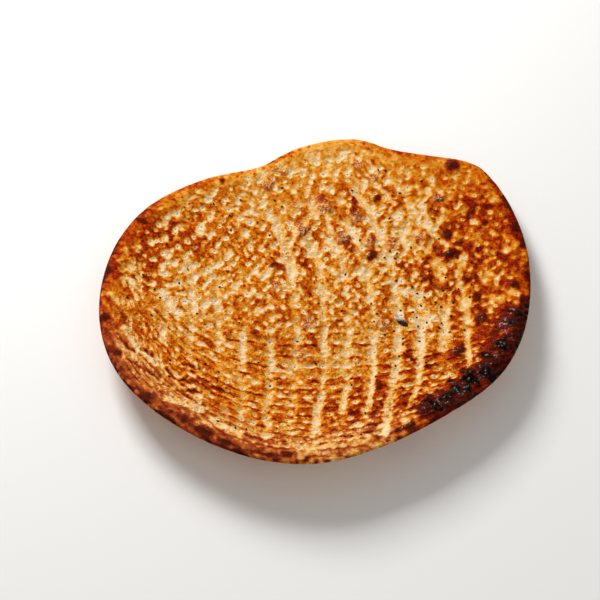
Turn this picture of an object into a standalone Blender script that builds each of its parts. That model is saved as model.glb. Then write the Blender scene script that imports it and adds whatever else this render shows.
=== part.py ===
"""A tandoor flatbread: one dished slab of baked dough.

The face is dimpled by docker pricks and crossed by finger furrows, the rim is a raised roll
with blisters on its scorched side, and nigella seeds are baked into the face.
Metres, +Z up.  The bread rests on a flat spot in the middle of its underside.
"""
import math
import random

import bmesh
import bpy
from mathutils import Euler, Matrix, Vector, noise
from mathutils.bvhtree import BVHTree
from mathutils.kdtree import KDTree

# ---- plan and dish -------------------------------------------------------------------------
# Outline of the bread: direction in degrees, counted from +X towards +Y, and radius.
OUTLINE = (
    (0, 0.198), (22, 0.209), (41, 0.219), (47, 0.2135), (54, 0.2005), (65, 0.189),
    (78, 0.190), (95, 0.176), (112, 0.1595), (132, 0.174), (155, 0.192), (180, 0.200),
    (205, 0.2025), (235, 0.192), (268, 0.1865), (288, 0.178), (308, 0.177), (332, 0.1895),
)
# How far the underside of the rim stands above the resting spot, by direction.
RIM_LIFT = (
    (0, 0.020), (45, 0.010), (90, 0.006), (135, 0.012),
    (180, 0.024), (225, 0.034), (270, 0.036), (315, 0.032),
)
FLAT_SHARE = 0.42          # share of the radius that lies flat on the table
LIFT_POWER = 1.6           # how late the slab starts to rise towards the rim

# ---- section through the slab --------------------------------------------------------------
SLAB = 0.0085              # thickness between the furrows
RIM_ROLL = 0.0020          # extra height of the rim roll
RIM_ROLL_INSET = 0.013     # middle of the roll, measured in from the edge
RIM_ROLL_HALF = 0.009      # half width of the roll
FRONT_DEGREES = 250        # direction in which the roll is fullest
ROLL_EVENNESS = 0.7        # mean fullness of the roll, which is 1 at its fullest
CREST_INSET = 0.0045       # where the rounded edge starts, seen from above
SOLE_INSET = 0.0055        # the same on the underside
EDGE_HEIGHT = 0.48         # widest point of the edge, as a share of the thickness
CREST_DROP = 0.0012        # how much lower the face is where the edge starts
SOLE_WAVE = 0.0009         # unevenness of the underside outside the resting spot
SOLE_WAVE_LENGTH = 0.045
SOLE_WAVE_FADE = 0.3       # share of the raised part over which the waves set in
RELIEF_FADE = 0.10         # share of the radius over which the furrows fade at the edge

# ---- finger furrows ------------------------------------------------------------------------
# Each furrow runs from front to back and bows towards its middle: the place where it
# crosses BOW_LINE, its near end, its far end and its depth as a share of FURROW_DEPTH.
FURROWS = (
    (-0.140, -0.050, 0.012, 0.6), (-0.116, -0.068, 0.042, 0.6), (-0.093, -0.072, 0.032, 0.6),
    (-0.068, -0.150, -0.040, 0.7), (-0.043, -0.152, -0.045, 0.8), (-0.020, -0.150, 0.088, 0.8),
    (0.006, -0.160, 0.060, 0.9), (0.029, -0.132, 0.062, 0.8), (0.0525, -0.136, 0.040, 1.0),
    (0.076, -0.160, 0.136, 1.0), (0.096, -0.130, 0.100, 1.0), (0.117, -0.070, 0.136, 0.9),
    (0.137, -0.086, 0.022, 0.9), (0.160, -0.030, 0.060, 0.5),
)
FURROW_DEPTH = 0.0028
FURROW_HALF = 0.0056       # half width at which the depth has fallen to a third
FURROW_FADE = 0.018        # length over which a furrow runs out
BOW_LINE = -0.020          # y at which every furrow runs straight from front to back
BOW_FAR = 1.7              # sideways bow per metre squared beyond BOW_LINE
BOW_NEAR = 0.5             # the same on the near side, for the furrow through x = 0
BOW_NEAR_GAIN = 8.0        # how much the near bow grows per metre of x

# ---- pricks, blisters and swells -----------------------------------------------------------
# Two lines of pricks go with each furrow: one in its bottom and one on the rib beside it.
PRICK_DEPTH = 0.0017
PRICK_UNEVEN = (0.7, 1.2)  # least and greatest depth, as shares of PRICK_DEPTH
PRICK_STEP = 0.0108        # distance between pricks along a line
PRICK_LINES = 5            # extra lines outside the first and the last furrow
PRICK_LINE_GAP = 0.0116    # distance between those extra lines
PRICK_JITTER = 0.0012      # sideways unevenness of the pricks
PRICK_PULL = 0.75          # how far a point of the mesh moves towards its prick
PRICK_FREE_RIM = 0.90      # share of the radius outside which the rim is unpricked
PRICK_KEY = 5              # start of the seeded draw
SWELL = 0.0011             # broad unevenness of the face
SWELL_LENGTH = 0.034
BLISTER_SWELL = 1.5        # how steep the side of a blister is
# Blisters that stand out of the face: x, y, radius, height.
BLISTERS = (
    (0.164, -0.066, 0.011, 0.0034), (0.150, -0.088, 0.010, 0.0036), (0.134, -0.095, 0.008, 0.0030),
    (0.128, -0.109, 0.009, 0.0032), (0.114, -0.123, 0.010, 0.0034), (0.092, -0.129, 0.009, 0.0026),
    (0.181, -0.038, 0.009, 0.0026), (0.181, 0.004, 0.008, 0.0022), (0.127, 0.046, 0.010, 0.0024),
    (0.134, 0.146, 0.010, 0.0022), (0.053, 0.046, 0.007, 0.0028), (0.026, 0.068, 0.009, 0.0026),
    (0.009, 0.106, 0.009, 0.0024), (0.037, 0.099, 0.010, 0.0022), (0.106, 0.068, 0.009, 0.0026),
    (-0.013, 0.074, 0.012, 0.0028), (-0.050, 0.128, 0.009, 0.0026), (-0.041, 0.033, 0.008, 0.0020),
    (-0.035, -0.018, 0.012, 0.0018), (-0.146, -0.094, 0.010, 0.0020), (0.149, -0.031, 0.010, 0.0022),
    (0.127, -0.066, 0.010, 0.0022), (-0.196, -0.036, 0.008, 0.0018), (-0.103, -0.098, 0.012, 0.0020),
)

# ---- nigella seeds and the torn flake ------------------------------------------------------
SEED_LENGTH = 0.0029
SEED_WIDTH = 0.0018
SEED_HEIGHT = 0.0017
SEED_SUNK = 0.30           # share of the height below the face
SEED_GAP = 0.0046          # least distance between two seeds
SEED_KEY = 11              # start of the seeded draw
# Where the seeds fell: x, y, spread and number.
SEED_PATCHES = (
    (0.074, -0.024, 0.015, 11), (0.070, -0.068, 0.015, 8), (0.107, -0.022, 0.018, 9),
    (0.078, 0.055, 0.016, 8), (0.103, 0.027, 0.018, 8), (0.055, -0.116, 0.020, 6),
    (0.045, -0.158, 0.012, 4), (0.056, 0.122, 0.024, 6), (-0.035, 0.108, 0.030, 5),
    (-0.124, 0.026, 0.022, 7), (-0.094, 0.112, 0.016, 4), (-0.048, -0.080, 0.026, 6),
    (-0.112, -0.072, 0.026, 4), (-0.060, -0.142, 0.020, 4), (0.124, -0.062, 0.018, 3),
    (0.022, -0.010, 0.024, 4), (0.146, 0.020, 0.022, 3), (-0.166, -0.010, 0.016, 3),
)
FLAKE_PLACE = (0.0775, -0.0257)
FLAKE_SIZE = (0.0170, 0.0065, 0.0030)
FLAKE_TURN = -48           # degrees in plan
FLAKE_TILT = 10            # degrees, one end lifted off the face
FLAKE_GAP = 0.0105         # least distance between a seed and the middle of the flake

# ---- fineness of the mesh ------------------------------------------------------------------
SIDES = 6                  # both sheets start as a hexagon of six triangles
FACE_STEPS = 33            # rings of triangles across the face
SOLE_STEPS = 11            # rings of triangles across the underside
FACE_LEVEL = 2.0           # heights that keep the three parts of the shell apart
EDGE_LEVEL = 1.0
SOLE_LEVEL = 0.0

CRUST_COLOUR = (0.56, 0.20, 0.036, 1.0)
CRUST_ROUGHNESS = 0.62
SHARP_DEGREES = 50         # edges of the mesh that are steeper stay sharp


def clear_scene():
    for old in list(bpy.data.objects):
        bpy.data.objects.remove(old, do_unlink=True)


def round_table(table, degrees):
    """Smooth value of a table that goes once round the bread."""
    degrees %= 360
    count = len(table)
    after = 0
    while after < count and table[after][0] <= degrees:
        after += 1
    turns = []
    for index in range(after - 2, after + 2):
        angle, value = table[index % count]
        turns.append((angle + 360 * (index // count), value))
    (a0, v0), (a1, v1), (a2, v2), (a3, v3) = turns
    span = a2 - a1
    share = (degrees - a1) / span
    slope_1 = (v2 - v0) / (a2 - a0) * span
    slope_2 = (v3 - v1) / (a3 - a1) * span
    square = share * share
    cube = square * share
    return (
        (2 * cube - 3 * square + 1) * v1 + (cube - 2 * square + share) * slope_1
        + (3 * square - 2 * cube) * v2 + (cube - square) * slope_2
    )


def smooth_step(low, high, value):
    share = min(1.0, max(0.0, (value - low) / (high - low)))
    return share * share * (3 - 2 * share)


def plan_middle():
    """Middle of the outline's box, which is moved onto the origin."""
    xs = []
    ys = []
    for degrees in range(360):
        radius = round_table(OUTLINE, degrees)
        xs.append(radius * math.cos(math.radians(degrees)))
        ys.append(radius * math.sin(math.radians(degrees)))
    return Vector(((min(xs) + max(xs)) / 2, (min(ys) + max(ys)) / 2, 0))


def polar(x, y):
    """Direction in degrees, share of the radius, and radius of the edge in that direction."""
    degrees = math.degrees(math.atan2(y, x))
    edge = round_table(OUTLINE, degrees)
    return degrees, math.hypot(x, y) / edge, edge


def sole_height(x, y):
    """Underside of the slab: flat in the middle, rising towards the rim."""
    degrees, share, _ = polar(x, y)
    outside = max(0.0, (share - FLAT_SHARE) / (1 - FLAT_SHARE))
    wave = noise.noise(Vector((x, y, 0)) / SOLE_WAVE_LENGTH)
    fade = smooth_step(0.0, SOLE_WAVE_FADE, outside)
    return round_table(RIM_LIFT, degrees) * outside ** LIFT_POWER + SOLE_WAVE * fade * (wave + 0.5)


def bow(crossing, y):
    """Sideways bow of the line through a crossing, and its slope."""
    along = y - BOW_LINE
    rate = BOW_FAR if along > 0 else max(0.0, BOW_NEAR + BOW_NEAR_GAIN * crossing)
    return rate * along * along, 2 * rate * along


def furrow_depth(x, y):
    """Depth of the deepest furrow at a place."""
    depth = 0.0
    for crossing, near, far, strength in FURROWS:
        offset, slope = bow(crossing, y)
        across = (x - crossing + offset) / math.hypot(1, slope)
        ends = smooth_step(near - FURROW_FADE, near + FURROW_FADE, y)
        ends *= 1 - smooth_step(far - FURROW_FADE, far + FURROW_FADE, y)
        depth = max(depth, strength * ends * math.exp(-(across / FURROW_HALF) ** 2))
    return FURROW_DEPTH * depth


def prick_places(draw):
    """Staggered pricks along the furrows, the ribs and the plain stretches beside them."""
    crossings = [furrow[0] for furrow in FURROWS]
    ribs = [(left + right) / 2 for left, right in zip(crossings, crossings[1:])]
    before = [crossings[0] - PRICK_LINE_GAP * step for step in range(1, PRICK_LINES + 1)]
    after = [crossings[-1] + PRICK_LINE_GAP * step for step in range(1, PRICK_LINES + 1)]
    reach = max(radius for _, radius in OUTLINE)
    rows = int(reach / PRICK_STEP)
    places = []
    for line, crossing in enumerate(sorted(before + crossings + ribs + after)):
        for row in range(-rows, rows + 1):
            y = (row + 0.5 * (line % 2)) * PRICK_STEP
            x = crossing - bow(crossing, y)[0]
            x += draw.uniform(-PRICK_JITTER, PRICK_JITTER)
            y += draw.uniform(-PRICK_JITTER, PRICK_JITTER)
            if polar(x, y)[1] < PRICK_FREE_RIM:
                places.append(Vector((x, y, 0)))
    return places


def blister_height(x, y):
    height = 0.0
    for centre_x, centre_y, radius, top in BLISTERS:
        apart = math.hypot(x - centre_x, y - centre_y) / radius
        if apart < 1:
            height = max(height, top * (1 - apart * apart) ** BLISTER_SWELL)
    return height


def face_height(x, y):
    """Upper side of the slab, without the pricks."""
    degrees, share, edge = polar(x, y)
    inset = edge * (1 - share)
    towards_front = math.cos(math.radians(degrees - FRONT_DEGREES))
    fullness = ROLL_EVENNESS + (1 - ROLL_EVENNESS) * towards_front
    roll = RIM_ROLL * fullness * math.exp(-((inset - RIM_ROLL_INSET) / RIM_ROLL_HALF) ** 2)
    drop = CREST_DROP * (1 - smooth_step(CREST_INSET, 2 * CREST_INSET, inset))
    swell = SWELL * noise.noise(Vector((x, y, 1)) / SWELL_LENGTH)
    on_face = smooth_step(0.0, RELIEF_FADE, 1 - share)
    relief = swell - furrow_depth(x, y) * on_face + blister_height(x, y)
    return sole_height(x, y) + SLAB + roll - drop + relief


def hexagon_to_round(point):
    """Share of the radius and direction for a point of the hexagon of triangles."""
    if point.length < 1e-6:
        return 0.0, 0.0
    sector_angle = 2 * math.pi / SIDES
    turn = math.atan2(point.y, point.x) % (2 * math.pi)
    sector = int(turn / sector_angle + 1e-6) % SIDES
    middle = (sector + 0.5) * sector_angle
    reach = (point.x * math.cos(middle) + point.y * math.sin(middle)) / math.cos(sector_angle / 2)
    start = Vector((math.cos(sector * sector_angle), math.sin(sector * sector_angle), 0))
    end = Vector((math.cos((sector + 1) * sector_angle), math.sin((sector + 1) * sector_angle), 0))
    side = end - start
    share_of_side = (point - start * reach).dot(side) / (reach * side.length_squared)
    return reach, math.degrees((sector + share_of_side) * sector_angle)


def add_sheet(mesh, steps, level):
    """Hexagon of triangles, split evenly, with its corners on a circle of radius 1."""
    place = Matrix.Translation((0, 0, level)) @ Matrix.Rotation(-math.pi / 2, 4, "Z")
    bmesh.ops.create_circle(
        mesh, cap_ends=True, cap_tris=True, segments=SIDES, radius=1.0, matrix=place)
    spokes = [edge for edge in mesh.edges if on_level(edge, level)]
    bmesh.ops.subdivide_edges(mesh, edges=spokes, cuts=steps - 1, use_grid_fill=True)


def on_level(edge, level):
    return all(abs(vert.co.z - level) < 0.5 for vert in edge.verts)


def open_edges(mesh):
    return [edge for edge in mesh.edges if len(edge.link_faces) == 1]


def make_shell():
    """Closed shell of three levels: the face, the widest line of the edge and the sole."""
    mesh = bmesh.new()
    add_sheet(mesh, FACE_STEPS, FACE_LEVEL)
    skirt = bmesh.ops.extrude_edge_only(mesh, edges=open_edges(mesh))["geom"]
    hem = [item for item in skirt if isinstance(item, bmesh.types.BMVert)]
    bmesh.ops.translate(mesh, verts=hem, vec=(0, 0, EDGE_LEVEL - FACE_LEVEL))
    add_sheet(mesh, SOLE_STEPS, SOLE_LEVEL)
    bmesh.ops.bridge_loops(mesh, edges=open_edges(mesh))
    bmesh.ops.triangulate(mesh, faces=mesh.faces)
    return mesh


def spread(point, inset):
    """Where a point of the hexagon lies in plan, with its rim that far inside the edge."""
    share, degrees = hexagon_to_round(Vector((point.x, point.y, 0)))
    radius = share * (round_table(OUTLINE, degrees) - inset)
    return share, radius * math.cos(math.radians(degrees)), radius * math.sin(math.radians(degrees))


def shape_face(verts, draw):
    """Lay the face out flat, press the nearest point into each prick and raise the relief."""
    for vert in verts:
        _, x, y = spread(vert.co, CREST_INSET)
        vert.co = (x, y, 0)
    tree = KDTree(len(verts))
    for index, vert in enumerate(verts):
        tree.insert(vert.co, index)
    tree.balance()
    pricked = {}
    for place in prick_places(draw):
        _, nearest, _ = tree.find(place)
        if nearest not in pricked:
            pricked[nearest] = PRICK_DEPTH * draw.uniform(*PRICK_UNEVEN)
            verts[nearest].co = verts[nearest].co.lerp(place, PRICK_PULL)
    for index, vert in enumerate(verts):
        vert.co.z = face_height(vert.co.x, vert.co.y) - pricked.get(index, 0.0)


def shape_edge(verts):
    """Widest line of the rounded edge."""
    for vert in verts:
        _, x, y = spread(vert.co, 0.0)
        low = sole_height(x, y)
        vert.co = (x, y, low + EDGE_HEIGHT * (face_height(x, y) - low))


def shape_sole(verts):
    for vert in verts:
        _, x, y = spread(vert.co, SOLE_INSET)
        vert.co = (x, y, sole_height(x, y))


def make_bread(collection):
    mesh = make_shell()
    ordered = sorted(mesh.verts, key=lambda vert: (round(vert.co.y, 5), round(vert.co.x, 5)))
    levels = {FACE_LEVEL: [], EDGE_LEVEL: [], SOLE_LEVEL: []}
    for vert in ordered:
        levels[float(round(vert.co.z))].append(vert)
    shape_face(levels[FACE_LEVEL], random.Random(PRICK_KEY))
    shape_edge(levels[EDGE_LEVEL])
    shape_sole(levels[SOLE_LEVEL])
    bmesh.ops.recalc_face_normals(mesh, faces=mesh.faces)
    bmesh.ops.translate(mesh, verts=mesh.verts, vec=-plan_middle())
    data = bpy.data.meshes.new("flatbread")
    mesh.to_mesh(data)
    mesh.free()
    bread = bpy.data.objects.new("flatbread", data)
    collection.objects.link(bread)
    return bread


def seed_places(draw):
    """Seeds fall in loose patches, never on top of each other."""
    places = []
    for centre_x, centre_y, spread, number in SEED_PATCHES:
        wanted = len(places) + number
        while len(places) < wanted:
            x = draw.gauss(centre_x, spread)
            y = draw.gauss(centre_y, spread)
            turn = draw.uniform(0, math.pi)
            clear_of_rim = polar(x, y)[1] < PRICK_FREE_RIM
            clear_of_seeds = all(math.hypot(x - a, y - b) > SEED_GAP for a, b, _ in places)
            clear_of_flake = math.hypot(x - FLAKE_PLACE[0], y - FLAKE_PLACE[1]) > FLAKE_GAP
            if clear_of_rim and clear_of_seeds and clear_of_flake:
                places.append((x, y, turn))
    return places


def lay_on_face(surface, x, y):
    """Point and tilt of the face straight below a place."""
    above = Vector((x, y, 1.0)) - plan_middle()
    point, normal, _, _ = surface.ray_cast(above, Vector((0, 0, -1)))
    return point, Vector((0, 0, 1)).rotation_difference(normal).to_matrix()


def add_pebble(name, size, point, rotation, collection):
    """Small rounded lump of the given size, lying the way it is told."""
    mesh = bmesh.new()
    bmesh.ops.create_icosphere(mesh, subdivisions=1, radius=0.5)
    bmesh.ops.transform(mesh, matrix=Matrix.Diagonal((*size, 1.0)), verts=mesh.verts)
    bmesh.ops.transform(mesh, matrix=rotation.to_4x4(), verts=mesh.verts)
    bmesh.ops.translate(mesh, vec=point, verts=mesh.verts)
    data = bpy.data.meshes.new(name)
    mesh.to_mesh(data)
    mesh.free()
    pebble = bpy.data.objects.new(name, data)
    collection.objects.link(pebble)


def make_toppings(bread, collection):
    surface = BVHTree.FromObject(bread, bpy.context.evaluated_depsgraph_get())
    for index, (x, y, turn) in enumerate(seed_places(random.Random(SEED_KEY))):
        point, lean = lay_on_face(surface, x, y)
        rotation = lean @ Matrix.Rotation(turn, 3, "Z")
        point = point + lean @ Vector((0, 0, SEED_HEIGHT * (0.5 - SEED_SUNK)))
        size = (SEED_LENGTH, SEED_WIDTH, SEED_HEIGHT)
        add_pebble(f"seed_{index}", size, point, rotation, collection)
    point, lean = lay_on_face(surface, *FLAKE_PLACE)
    tilt = Euler((0, math.radians(FLAKE_TILT), math.radians(FLAKE_TURN))).to_matrix()
    add_pebble("flake", FLAKE_SIZE, point, lean @ tilt, collection)


def bake_in(bread, toppings):
    """Join the toppings to the dough, so that the bread is one solid."""
    bpy.ops.object.select_all(action="DESELECT")
    bread.select_set(True)
    bpy.context.view_layer.objects.active = bread
    union = bread.modifiers.new("baked_in", "BOOLEAN")
    union.operation = "UNION"
    union.operand_type = "COLLECTION"
    union.collection = toppings
    union.solver = "EXACT"
    bpy.ops.object.modifier_apply(modifier=union.name)
    for topping in list(toppings.objects):
        bpy.data.objects.remove(topping, do_unlink=True)
    bpy.data.collections.remove(toppings)


def crust_material():
    material = bpy.data.materials.new("baked_crust")
    material.use_nodes = True
    shader = material.node_tree.nodes["Principled BSDF"]
    shader.inputs["Base Color"].default_value = CRUST_COLOUR
    shader.inputs["Roughness"].default_value = CRUST_ROUGHNESS
    shader.inputs["Metallic"].default_value = 0.0
    return material


def main():
    clear_scene()
    parts = bpy.data.collections.new("tandoor_flatbread")
    toppings = bpy.data.collections.new("toppings")
    bpy.context.scene.collection.children.link(parts)
    bpy.context.scene.collection.children.link(toppings)
    bread = make_bread(parts)
    make_toppings(bread, toppings)
    bake_in(bread, toppings)
    bread.data.materials.clear()
    bread.data.materials.append(crust_material())
    bread.data.shade_smooth()
    bread.data.set_sharp_from_angle(angle=math.radians(SHARP_DEGREES))


main()
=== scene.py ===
# %% [markdown]
# # A tandoor flatbread
# A large flatbread, slapped on the wall of a clay oven.  Its face was pricked all over and
# drawn through with the fingertips, so the dough could not balloon, and nigella seeds were
# thrown on it.  In this lesson we build three pieces: the crust, the seeds and one torn flake
# of crust.  The first cell loads the plain solid bread that fixes the size and the place.

# %% The plain bread that everything follows
import math
import random

import bpy
import numpy as np
from mathutils import Euler, Matrix, Vector, noise
from mathutils.bvhtree import BVHTree
from mathutils.kdtree import KDTree


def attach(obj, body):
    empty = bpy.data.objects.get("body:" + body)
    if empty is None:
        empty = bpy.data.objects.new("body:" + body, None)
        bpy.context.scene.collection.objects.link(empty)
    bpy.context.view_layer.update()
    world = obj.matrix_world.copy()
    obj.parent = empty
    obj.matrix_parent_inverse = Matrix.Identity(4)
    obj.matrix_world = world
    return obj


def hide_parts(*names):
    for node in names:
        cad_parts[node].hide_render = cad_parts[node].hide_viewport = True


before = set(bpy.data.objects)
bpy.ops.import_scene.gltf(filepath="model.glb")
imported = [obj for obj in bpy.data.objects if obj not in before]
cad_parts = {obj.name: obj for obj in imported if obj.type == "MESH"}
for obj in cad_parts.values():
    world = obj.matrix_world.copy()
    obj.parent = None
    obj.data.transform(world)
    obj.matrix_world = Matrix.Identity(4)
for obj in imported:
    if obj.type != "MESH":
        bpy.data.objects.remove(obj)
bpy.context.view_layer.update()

# %% [markdown]
# ## The sizes of the bread
# A hand-shaped bread has no drawing, but it still has sizes: an outline told by a radius for
# each direction, the lift of its rim, the thickness of the slab and the roll along the edge.
# They are the same sizes as in the plain solid, in metres, so the crust lies exactly on it.

# %% Sizes of the slab
OUTLINE = (
    (0, 0.198), (22, 0.209), (41, 0.219), (47, 0.2135), (54, 0.2005), (65, 0.189),
    (78, 0.190), (95, 0.176), (112, 0.1595), (132, 0.174), (155, 0.192), (180, 0.200),
    (205, 0.2025), (235, 0.192), (268, 0.1865), (288, 0.178), (308, 0.177), (332, 0.1895),
)
RIM_LIFT = (
    (0, 0.020), (45, 0.010), (90, 0.006), (135, 0.012),
    (180, 0.024), (225, 0.034), (270, 0.036), (315, 0.032),
)
FLAT_SHARE, LIFT_POWER = 0.42, 1.6
SLAB = 0.0085
RIM_ROLL, RIM_ROLL_INSET, RIM_ROLL_HALF, FRONT_DEGREES = 0.0020, 0.013, 0.009, 250
CREST_INSET, SOLE_INSET, CREST_DROP = 0.0045, 0.0055, 0.0012
SOLE_WAVE, SOLE_WAVE_LENGTH = 0.0009, 0.045
SWELL, SWELL_LENGTH = 0.0011, 0.034


def round_table(table, degrees):
    """Smooth values of a table that goes once round the bread."""
    angles = np.array([row[0] for row in table], float)
    values = np.array([row[1] for row in table], float)
    angles = np.concatenate([angles[-2:] - 360, angles, angles[:2] + 360])
    values = np.concatenate([values[-2:], values, values[:2]])
    degrees = np.asarray(degrees, float) % 360
    at = np.clip(np.searchsorted(angles, degrees, side="right") - 1, 1, len(angles) - 3)
    span = angles[at + 1] - angles[at]
    t = (degrees - angles[at]) / span
    slope_1 = (values[at + 1] - values[at - 1]) / (angles[at + 1] - angles[at - 1]) * span
    slope_2 = (values[at + 2] - values[at]) / (angles[at + 2] - angles[at]) * span
    return ((2 * t ** 3 - 3 * t ** 2 + 1) * values[at] + (t ** 3 - 2 * t ** 2 + t) * slope_1
            + (3 * t ** 2 - 2 * t ** 3) * values[at + 1] + (t ** 3 - t ** 2) * slope_2)


TURN = np.radians(np.arange(360))
REACH = round_table(OUTLINE, np.arange(360))
PLAN_MIDDLE = np.array([
    (np.max(REACH * np.cos(TURN)) + np.min(REACH * np.cos(TURN))) / 2,
    (np.max(REACH * np.sin(TURN)) + np.min(REACH * np.sin(TURN))) / 2,
])
print("radius from", REACH.min(), "to", REACH.max(), "m")

# %% [markdown]
# ## Helpers for places
# All that follows is worked out for every point of the crust at once, as long arrays.  These
# helpers blend softly between two values, tell where on the bread a point lies, and give
# smooth random fields: one alone, or several added up, each with its own size of lumps.

# %% Blending, places and random fields
def smooth_step(low, high, value):
    t = np.clip((value - low) / (high - low), 0, 1)
    return t * t * (3 - 2 * t)


def polar(x, y):
    """Direction in degrees, share of the radius and distance to the edge."""
    degrees = np.degrees(np.arctan2(y, x))
    edge = round_table(OUTLINE, degrees)
    share = np.hypot(x, y) / edge
    return degrees, share, edge * (1 - share)


def grain(x, y, size, layer=0.0):
    """Smooth random field from -1 to 1 whose lumps are about that size."""
    return np.array([noise.noise((a / size, b / size, layer / size)) for a, b in zip(x, y)])


def grains(x, y, *layers):
    """Sum of random fields, each told by its amount, the size of its lumps and its layer."""
    return sum(amount * grain(x, y, size, layer) for amount, size, layer in layers)


print("share of the radius 0.1 m to the right:", round(float(polar(0.1, 0.0)[1]), 3))

# %% [markdown]
# ## The sheet of dough
# The face needs about one point for each millimetre, spread evenly, and the underside far
# fewer.  A fan of six triangles that is subdivided gives just that: rings of equal
# triangles with no crowded pole.  Scanning or voxels would give as many points, but none of
# them in order.  The edge is the rim of the fan, extruded down in rings, and a coarser fan
# closes the bottom.  The three parts sit on levels, so the next cell can tell them apart.
# A new primitive comes selected all over, so everything else is deselected first.

# %% Face, edge rings and sole
FACE_CUTS = (10, 14)        # two rounds of subdivision: 11 times 15 rings of triangles
SOLE_CUTS = (10, 4)         # 11 times 5 rings
EDGE_RINGS = 6
FACE_LEVEL, RING_GAP, SOLE_LEVEL = 2.0, 0.1, 0.0


def pick(*pieces):
    """Select these pieces and nothing else, and make the first one active."""
    bpy.ops.object.select_all(action="DESELECT")
    for piece in pieces:
        piece.select_set(True)
    if pieces:
        bpy.context.view_layer.objects.active = pieces[0]


def mode(name):
    bpy.ops.object.mode_set(mode=name)


def fan(name, cuts, level):
    pick()
    bpy.ops.mesh.primitive_circle_add(
        vertices=6, radius=1.0, fill_type="TRIFAN", location=(0, 0, level),
        rotation=(0, 0, -math.pi / 2))
    sheet = bpy.context.object
    sheet.name = name
    bpy.ops.object.transform_apply(location=True, rotation=True, scale=True)
    mode("EDIT")
    bpy.ops.mesh.select_all(action="SELECT")
    for cut in cuts:
        bpy.ops.mesh.subdivide(number_cuts=cut)
    mode("OBJECT")
    return sheet


crust = fan("crust", FACE_CUTS, FACE_LEVEL)
mode("EDIT")
bpy.ops.mesh.select_mode(type="EDGE")
bpy.ops.mesh.select_all(action="DESELECT")
bpy.ops.mesh.select_non_manifold()
for _ in range(EDGE_RINGS):
    bpy.ops.mesh.extrude_edges_move(TRANSFORM_OT_translate={"value": (0, 0, -RING_GAP)})
mode("OBJECT")
sole = fan("sole", SOLE_CUTS, SOLE_LEVEL)
pick(crust, sole)
bpy.ops.object.join()
mode("EDIT")
bpy.ops.mesh.select_all(action="DESELECT")
bpy.ops.mesh.select_non_manifold()
bpy.ops.mesh.bridge_edge_loops()
bpy.ops.mesh.select_all(action="SELECT")
bpy.ops.mesh.quads_convert_to_tris()
bpy.ops.mesh.select_mode(type="VERT")
mode("OBJECT")
print("crust:", len(crust.data.vertices), "points,", len(crust.data.polygons), "triangles")

# %% [markdown]
# ## From a hexagon to the outline
# A point of the fan has a share of the way to the rim and a place along one of the six
# sides.  Read as a radius and a direction, these lay the sheet out round, and the outline
# table then says how far each direction reaches.  Points of the edge go round a half
# ellipse from the crest to the sole.

# %% Lay the sheet out
EDGE_FULLNESS = 0.8            # below 1 the edge is fuller than an ellipse
TINY = 1e-9
flat = np.zeros(len(crust.data.vertices) * 3)
crust.data.vertices.foreach_get("co", flat)
flat = flat.reshape(-1, 3)
is_face = flat[:, 2] > FACE_LEVEL - RING_GAP / 2
is_sole = flat[:, 2] < SOLE_LEVEL + RING_GAP / 2
is_edge = ~is_face & ~is_sole
sector = math.pi / 3
turn = np.arctan2(flat[:, 1], flat[:, 0]) % (2 * math.pi)
side = np.floor(turn / sector + 1e-6) % 6
middle = (side + 0.5) * sector
reach = (flat[:, 0] * np.cos(middle) + flat[:, 1] * np.sin(middle)) / math.cos(sector / 2)
along = -flat[:, 0] * np.sin(middle) + flat[:, 1] * np.cos(middle)
along /= np.maximum(reach, TINY)
share = np.clip(reach, 0, 1)
degrees = np.degrees((side + 0.5 + np.where(reach > TINY, along, 0)) * sector)
rings_down = (FACE_LEVEL - flat[:, 2]) / RING_GAP
edge_turn = np.where(is_edge, rings_down / (EDGE_RINGS + 1), 0) * math.pi
edge_turn[is_sole] = math.pi   # 0 on the crest, pi on the sole
crest_or_sole = np.where(edge_turn <= math.pi / 2, CREST_INSET, SOLE_INSET)
inset_there = crest_or_sole * (1 - np.sin(edge_turn) ** EDGE_FULLNESS)
radius = share * (round_table(OUTLINE, degrees) - inset_there)
x, y = radius * np.cos(np.radians(degrees)), radius * np.sin(np.radians(degrees))
degrees, share, inset = polar(x, y)
print("face", is_face.sum(), "edge", is_edge.sum(), "sole", is_sole.sum(), "points")

# %% [markdown]
# ## Furrows
# The baker draws the fingertips back over the dough, so the furrows run from front to back
# and bow a little.  Each one wanders, widens and fades, because a finger does.  A texture
# could carry this pattern, but then light and shadow would not follow it.

# %% Furrow table
def metres(table, lengths):
    """A table noted in millimetres: the first so many numbers of each row are lengths."""
    return [tuple(value / 1000 for value in row[:lengths]) + tuple(row[lengths:]) for row in table]


FURROWS = metres((  # mm: crossing of the bow line, near end, far end; then depth
    (-140, -50, 12, 0.6), (-116, -68, 42, 0.6), (-93, -72, 32, 0.6), (-68, -150, -40, 0.7),
    (-43, -152, -45, 0.8), (-20, -150, 88, 0.8), (6, -160, 60, 0.9), (29, -132, 62, 0.8),
    (52.5, -136, 40, 1), (76, -160, 136, 1), (96, -130, 100, 1), (117, -70, 136, 0.9),
    (137, -86, 22, 0.9), (160, -30, 60, 0.5),
), 3)
print(len(FURROWS), "furrows")

# %% Shape of a furrow
FURROW_DEPTH, FURROW_HALF, FURROW_FADE = 0.0024, 0.0042, 0.018
MEANDER, MEANDER_LENGTH = 0.0034, 0.028         # how far a furrow wanders to the sides
WIDENING, WIDENING_LENGTH = 0.5, 0.011          # share by which it widens and narrows
FADING, FADING_LENGTH, FAINTEST = 0.9, 0.014, 0.25
BOW_LINE, BOW_FAR, BOW_NEAR, BOW_NEAR_GAIN = -0.020, 1.7, 0.5, 8.0
STEPS_ALONG = np.linspace(-0.25, 0.25, 301)


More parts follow.
